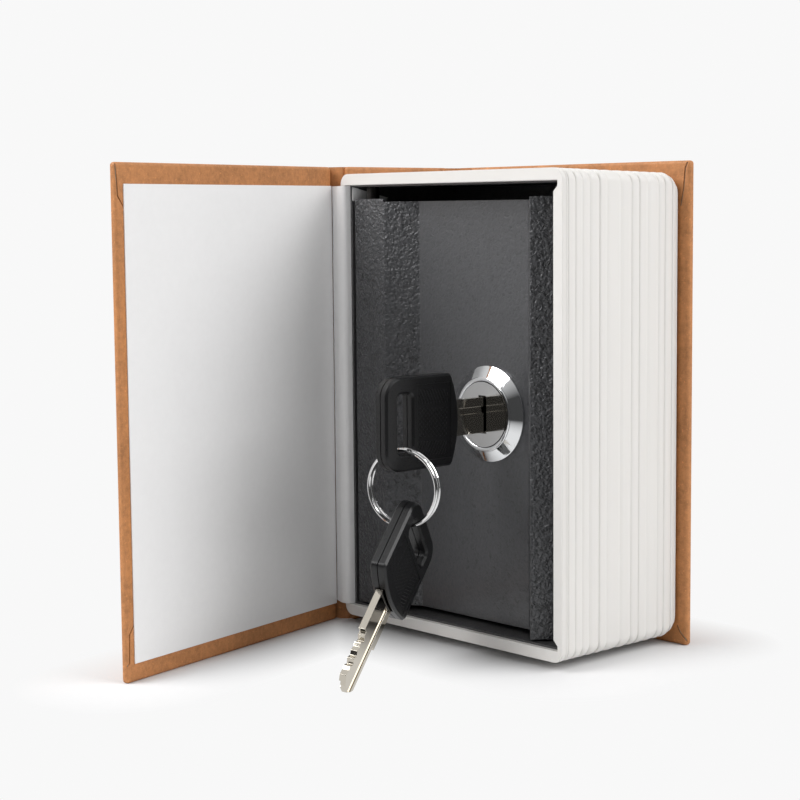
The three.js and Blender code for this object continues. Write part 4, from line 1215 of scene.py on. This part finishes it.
class SAFE_OT_split_ring(bpy.types.Operator):
    """Split ring of two turns"""

    bl_idname = "book_safe.split_ring"
    bl_label = "Split Ring"

    def execute(self, context):
        sizes = context.scene.safe_keys
        curve = bpy.data.curves.new("ring_path", "CURVE")
        curve.dimensions = "3D"
        spline = curve.splines.new("POLY")
        count, cut_short, crossing = 192, 24, 20
        spline.points.add(count)
        for i in range(count + 1):
            turn = cut_short + i / count * (720 - 2 * cut_short)
            raw = min(max((turn - 360 + crossing) / (2 * crossing), 0), 1)
            step = raw * raw * (3 - 2 * raw)
            angle = math.radians(turn)
            spline.points[i].co = (
                sizes.ring_radius * math.sin(angle),
                sizes.coil_pitch * (step - 0.5),
                -sizes.ring_radius * math.cos(angle),
                1,
            )
        curve.bevel_depth = sizes.wire / 2
        curve.bevel_resolution = 3
        curve.use_fill_caps = True
        carrier = linked("ring_path", curve)
        bpy.context.view_layer.update()
        bm = bmesh.new()
        bm.from_mesh(carrier.evaluated_get(bpy.context.evaluated_depsgraph_get()).to_mesh())
        discard(carrier)
        bmesh.ops.remove_doubles(bm, verts=bm.verts, dist=0.000001)
        low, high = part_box("split_ring")
        centre = (low + high) / 2
        along_bow = math.radians(18.4)
        place = Matrix.Translation(centre) @ Matrix.Rotation(along_bow, 4, "Z")
        add_piece(bm, "split_ring_wire", "key_ring", "ring_steel", ["split_ring"], place=place)
        return {"FINISHED"}


# Stage

def add_area_light(name, place, size, power):
    """A soft light that looks at the middle of the safe."""
    data = bpy.data.lights.new(name, "AREA")
    data.shape = "RECTANGLE"
    data.size, data.size_y = size
    data.energy = power
    light = linked(name, data)
    light.location = place
    light.rotation_mode = "QUATERNION"
    light.rotation_quaternion = (LIT_PLACE - light.location).to_track_quat("-Z", "Y")


def seen_directly(w):
    """1 for rays from the camera, a mirror or glass, and 0 for rays that carry light to a surface."""
    path = w.add("ShaderNodeLightPath")
    first = w.math("MAXIMUM", path.outputs["Is Camera Ray"], path.outputs["Is Glossy Ray"])
    return w.math("MAXIMUM", first, path.outputs["Is Transmission Ray"])


def mirrored(w):
    """1 for rays other than the camera's own."""
    return w.math("SUBTRACT", 1.0, w.add("ShaderNodeLightPath").outputs["Is Camera Ray"])


def toward_dim_side(w, low, high):
    """0 to 1 as a place or a direction lies further on the side of the room that is dim."""
    toward = w.vector_math("DOT_PRODUCT", w.place(), DIM_WAY)
    return w.times(w.span(toward, low, high), mirrored(w))


class SAFE_OT_stage(bpy.types.Operator):
    """Pale floor and backdrop, soft lights and the camera"""

    bl_idname = "book_safe.stage"
    bl_label = "Stage"

    def execute(self, context):
        stage = context.scene.safe_stage
        self.world(stage)
        self.floor(stage)
        add_area_light("side_light", (0.62, 0.27, 0.57), (0.62, 0.56), stage.side_power)
        add_area_light("front_light", (-0.29, -0.56, 0.57), (0.5, 0.5), stage.front_power)
        self.camera(stage)
        context.scene.view_settings.view_transform = "Standard"
        return {"FINISHED"}

    def world(self, stage):
        world = bpy.data.worlds.new("Studio")
        bpy.context.scene.world = world
        world.use_nodes = True
        world.node_tree.nodes.clear()
        w = Wiring(world.node_tree)
        output = w.add("ShaderNodeOutputWorld")
        height = w.add("ShaderNodeSeparateXYZ", {"Vector": w.place()}).outputs["Z"]
        low = w.span(height, 0.35, 0.8, 1.0, 0.0)
        dim = w.times(toward_dim_side(w, -0.1, 0.45), low)
        seen = w.span(dim, 0.0, 1.0, stage.backdrop, stage.dim_side)
        level = w.span(seen_directly(w), 0.0, 1.0, stage.ambient, seen)
        sky = w.add("ShaderNodeBackground", {"Color": (1, 1, 1, 1), "Strength": level})
        w.feed(output.inputs["Surface"], sky.outputs["Background"])

    def distance(self, w, middle, half, turn):
        """How far a place on the floor is from an upright box."""
        centre = (middle.x, middle.y, 0.0)
        moved = w.vector_math("SUBTRACT", w.place(), centre)
        apart = w.vector_math("ABSOLUTE", w.stretch(moved, (1, 1, 1), (0, 0, turn)))
        past = w.vector_math("SUBTRACT", apart, tuple(half))
        return w.vector_math("LENGTH", w.vector_math("MAXIMUM", past))

    def floor(self, stage):
        bm = bmesh.new()
        bmesh.ops.create_grid(bm, x_segments=8, y_segments=8, size=3.0)
        floor = linked("floor", mesh_from(bm, "floor"))
        material = bpy.data.materials.new("Floor")
        material.use_nodes = True
        material.node_tree.nodes.clear()
        w = Wiring(material.node_tree)
        output = w.add("ShaderNodeOutputMaterial")
        matt = w.add("ShaderNodeBsdfDiffuse")
        seen = seen_directly(w)
        w.feed(matt.inputs["Color"], w.blend(seen, (0.8, 0.8, 0.8, 1), (0.76, 0.76, 0.765, 1)))
        level = w.span(toward_dim_side(w, 0.12, 0.3), 0.0, 1.0, stage.backdrop, stage.dim_side)
        glow = w.add("ShaderNodeEmission", {"Color": (1, 1, 1, 1), "Strength": level})
        block_middle = Vector(((BLOCK_LOW.x + BLOCK_HIGH.x) / 2, (BLOCK_LOW.y + BACK_HIGH.y) / 2, 0))
        block_half = Vector((BLOCK_WIDTH / 2, (BACK_HIGH.y - BLOCK_LOW.y) / 2, 1))
        covers = bpy.context.scene.safe_covers
        hinge = Vector(joint_named("front_cover_hinge")["pos_m"])
        past_edge, off_hinge = 2 * MM, -4 * MM
        cover_half = Vector(((covers.fore_edge + past_edge) / 2, MM, 1))
        swing = Matrix.Rotation(-covers.open_angle, 3, "Z")
        cover_middle = hinge + swing @ Vector((cover_half.x, off_hinge, 0))
        near = w.math(
            "MINIMUM",
            self.distance(w, block_middle, block_half, 0.0),
            self.distance(w, cover_middle, cover_half, covers.open_angle),
        )
        shadow_start, shadow_end = 1 * MM, 24 * MM
        share = w.times(w.span(near, shadow_start, shadow_end), seen)
        mix = w.add("ShaderNodeMixShader", {0: share, 1: matt.outputs[0], 2: glow.outputs[0]})
        w.feed(output.inputs["Surface"], mix.outputs[0])
        floor.data.materials.append(material)

    def camera(self, stage):
        data = bpy.data.cameras.new("camera")
        data.lens = stage.lens / MM
        data.sensor_width = 36
        data.clip_start, data.clip_end = 0.01, 10
        camera = linked("camera", data)
        yaw, pitch, roll = (math.radians(turn) for turn in (CAMERA_YAW, CAMERA_PITCH, CAMERA_ROLL))
        ahead = math.cos(pitch)
        forward = Vector((-math.sin(yaw) * ahead, math.cos(yaw) * ahead, -math.sin(pitch)))
        level = Vector((math.cos(yaw), math.sin(yaw), 0))
        up = level.cross(forward)
        right = math.cos(roll) * level + math.sin(roll) * up
        over = -math.sin(roll) * level + math.cos(roll) * up
        turn = Matrix((right, over, -forward)).transposed()
        camera.matrix_world = Matrix.Translation(CAMERA_PLACE) @ turn.to_4x4()
        bpy.context.scene.camera = camera


class SAFE_PT_pieces(bpy.types.Panel):
    """Lists the safe's pieces"""

    bl_label = "Book Diversion Safe"
    bl_idname = "SAFE_PT_pieces"
    bl_space_type = "VIEW_3D"
    bl_region_type = "UI"
    bl_category = "Book Safe"

    def draw(self, context):
        scene = context.scene
        for label, group, operators in PANEL_ROWS:
            box = self.layout.box()
            box.label(text=label)
            for name in getattr(scene, group).__annotations__:
                box.prop(getattr(scene, group), name)
            for operator in operators:
                box.operator(operator)


PANEL_ROWS = (
    ("Page block", "safe_block", ["book_safe.page_block"]),
    ("Covers", "safe_covers", ["book_safe.covers", "book_safe.cover_joint", "book_safe.endpapers"]),
    ("Door and box", "safe_door", ["book_safe.steel_box", "book_safe.door"]),
    ("Lock", "safe_lock", ["book_safe.lock"]),
    ("Keys", "safe_keys", ["book_safe.keys", "book_safe.split_ring"]),
    ("Stage", "safe_stage", ["book_safe.stage"]),
)

GROUPS = {
    "safe_covers": CoverSizes,
    "safe_block": BlockSizes,
    "safe_door": DoorSizes,
    "safe_lock": LockSizes,
    "safe_keys": KeySizes,
    "safe_stage": StageSettings,
}

CLASSES = (
    *GROUPS.values(),
    SAFE_OT_page_block,
    SAFE_OT_covers,
    SAFE_OT_cover_joint,
    SAFE_OT_endpapers,
    SAFE_OT_steel_box,
    SAFE_OT_door,
    SAFE_OT_lock,
    SAFE_OT_keys,
    SAFE_OT_split_ring,
    SAFE_OT_stage,
    SAFE_PT_pieces,
)


def register():
    for cls in CLASSES:
        bpy.utils.register_class(cls)
    for name, cls in GROUPS.items():
        setattr(bpy.types.Scene, name, PointerProperty(type=cls))


def unregister():
    for name in GROUPS:
        delattr(bpy.types.Scene, name)
    for cls in reversed(CLASSES):
        bpy.utils.unregister_class(cls)


def main():
    register()
    bpy.ops.book_safe.stage()
    bpy.ops.book_safe.page_block()
    bpy.ops.book_safe.covers()
    bpy.ops.book_safe.cover_joint()
    bpy.ops.book_safe.endpapers()
    bpy.ops.book_safe.steel_box()
    bpy.ops.book_safe.door()
    bpy.ops.book_safe.lock()
    bpy.ops.book_safe.keys()
    bpy.ops.book_safe.split_ring()


if __name__ == "__main__":
    main()
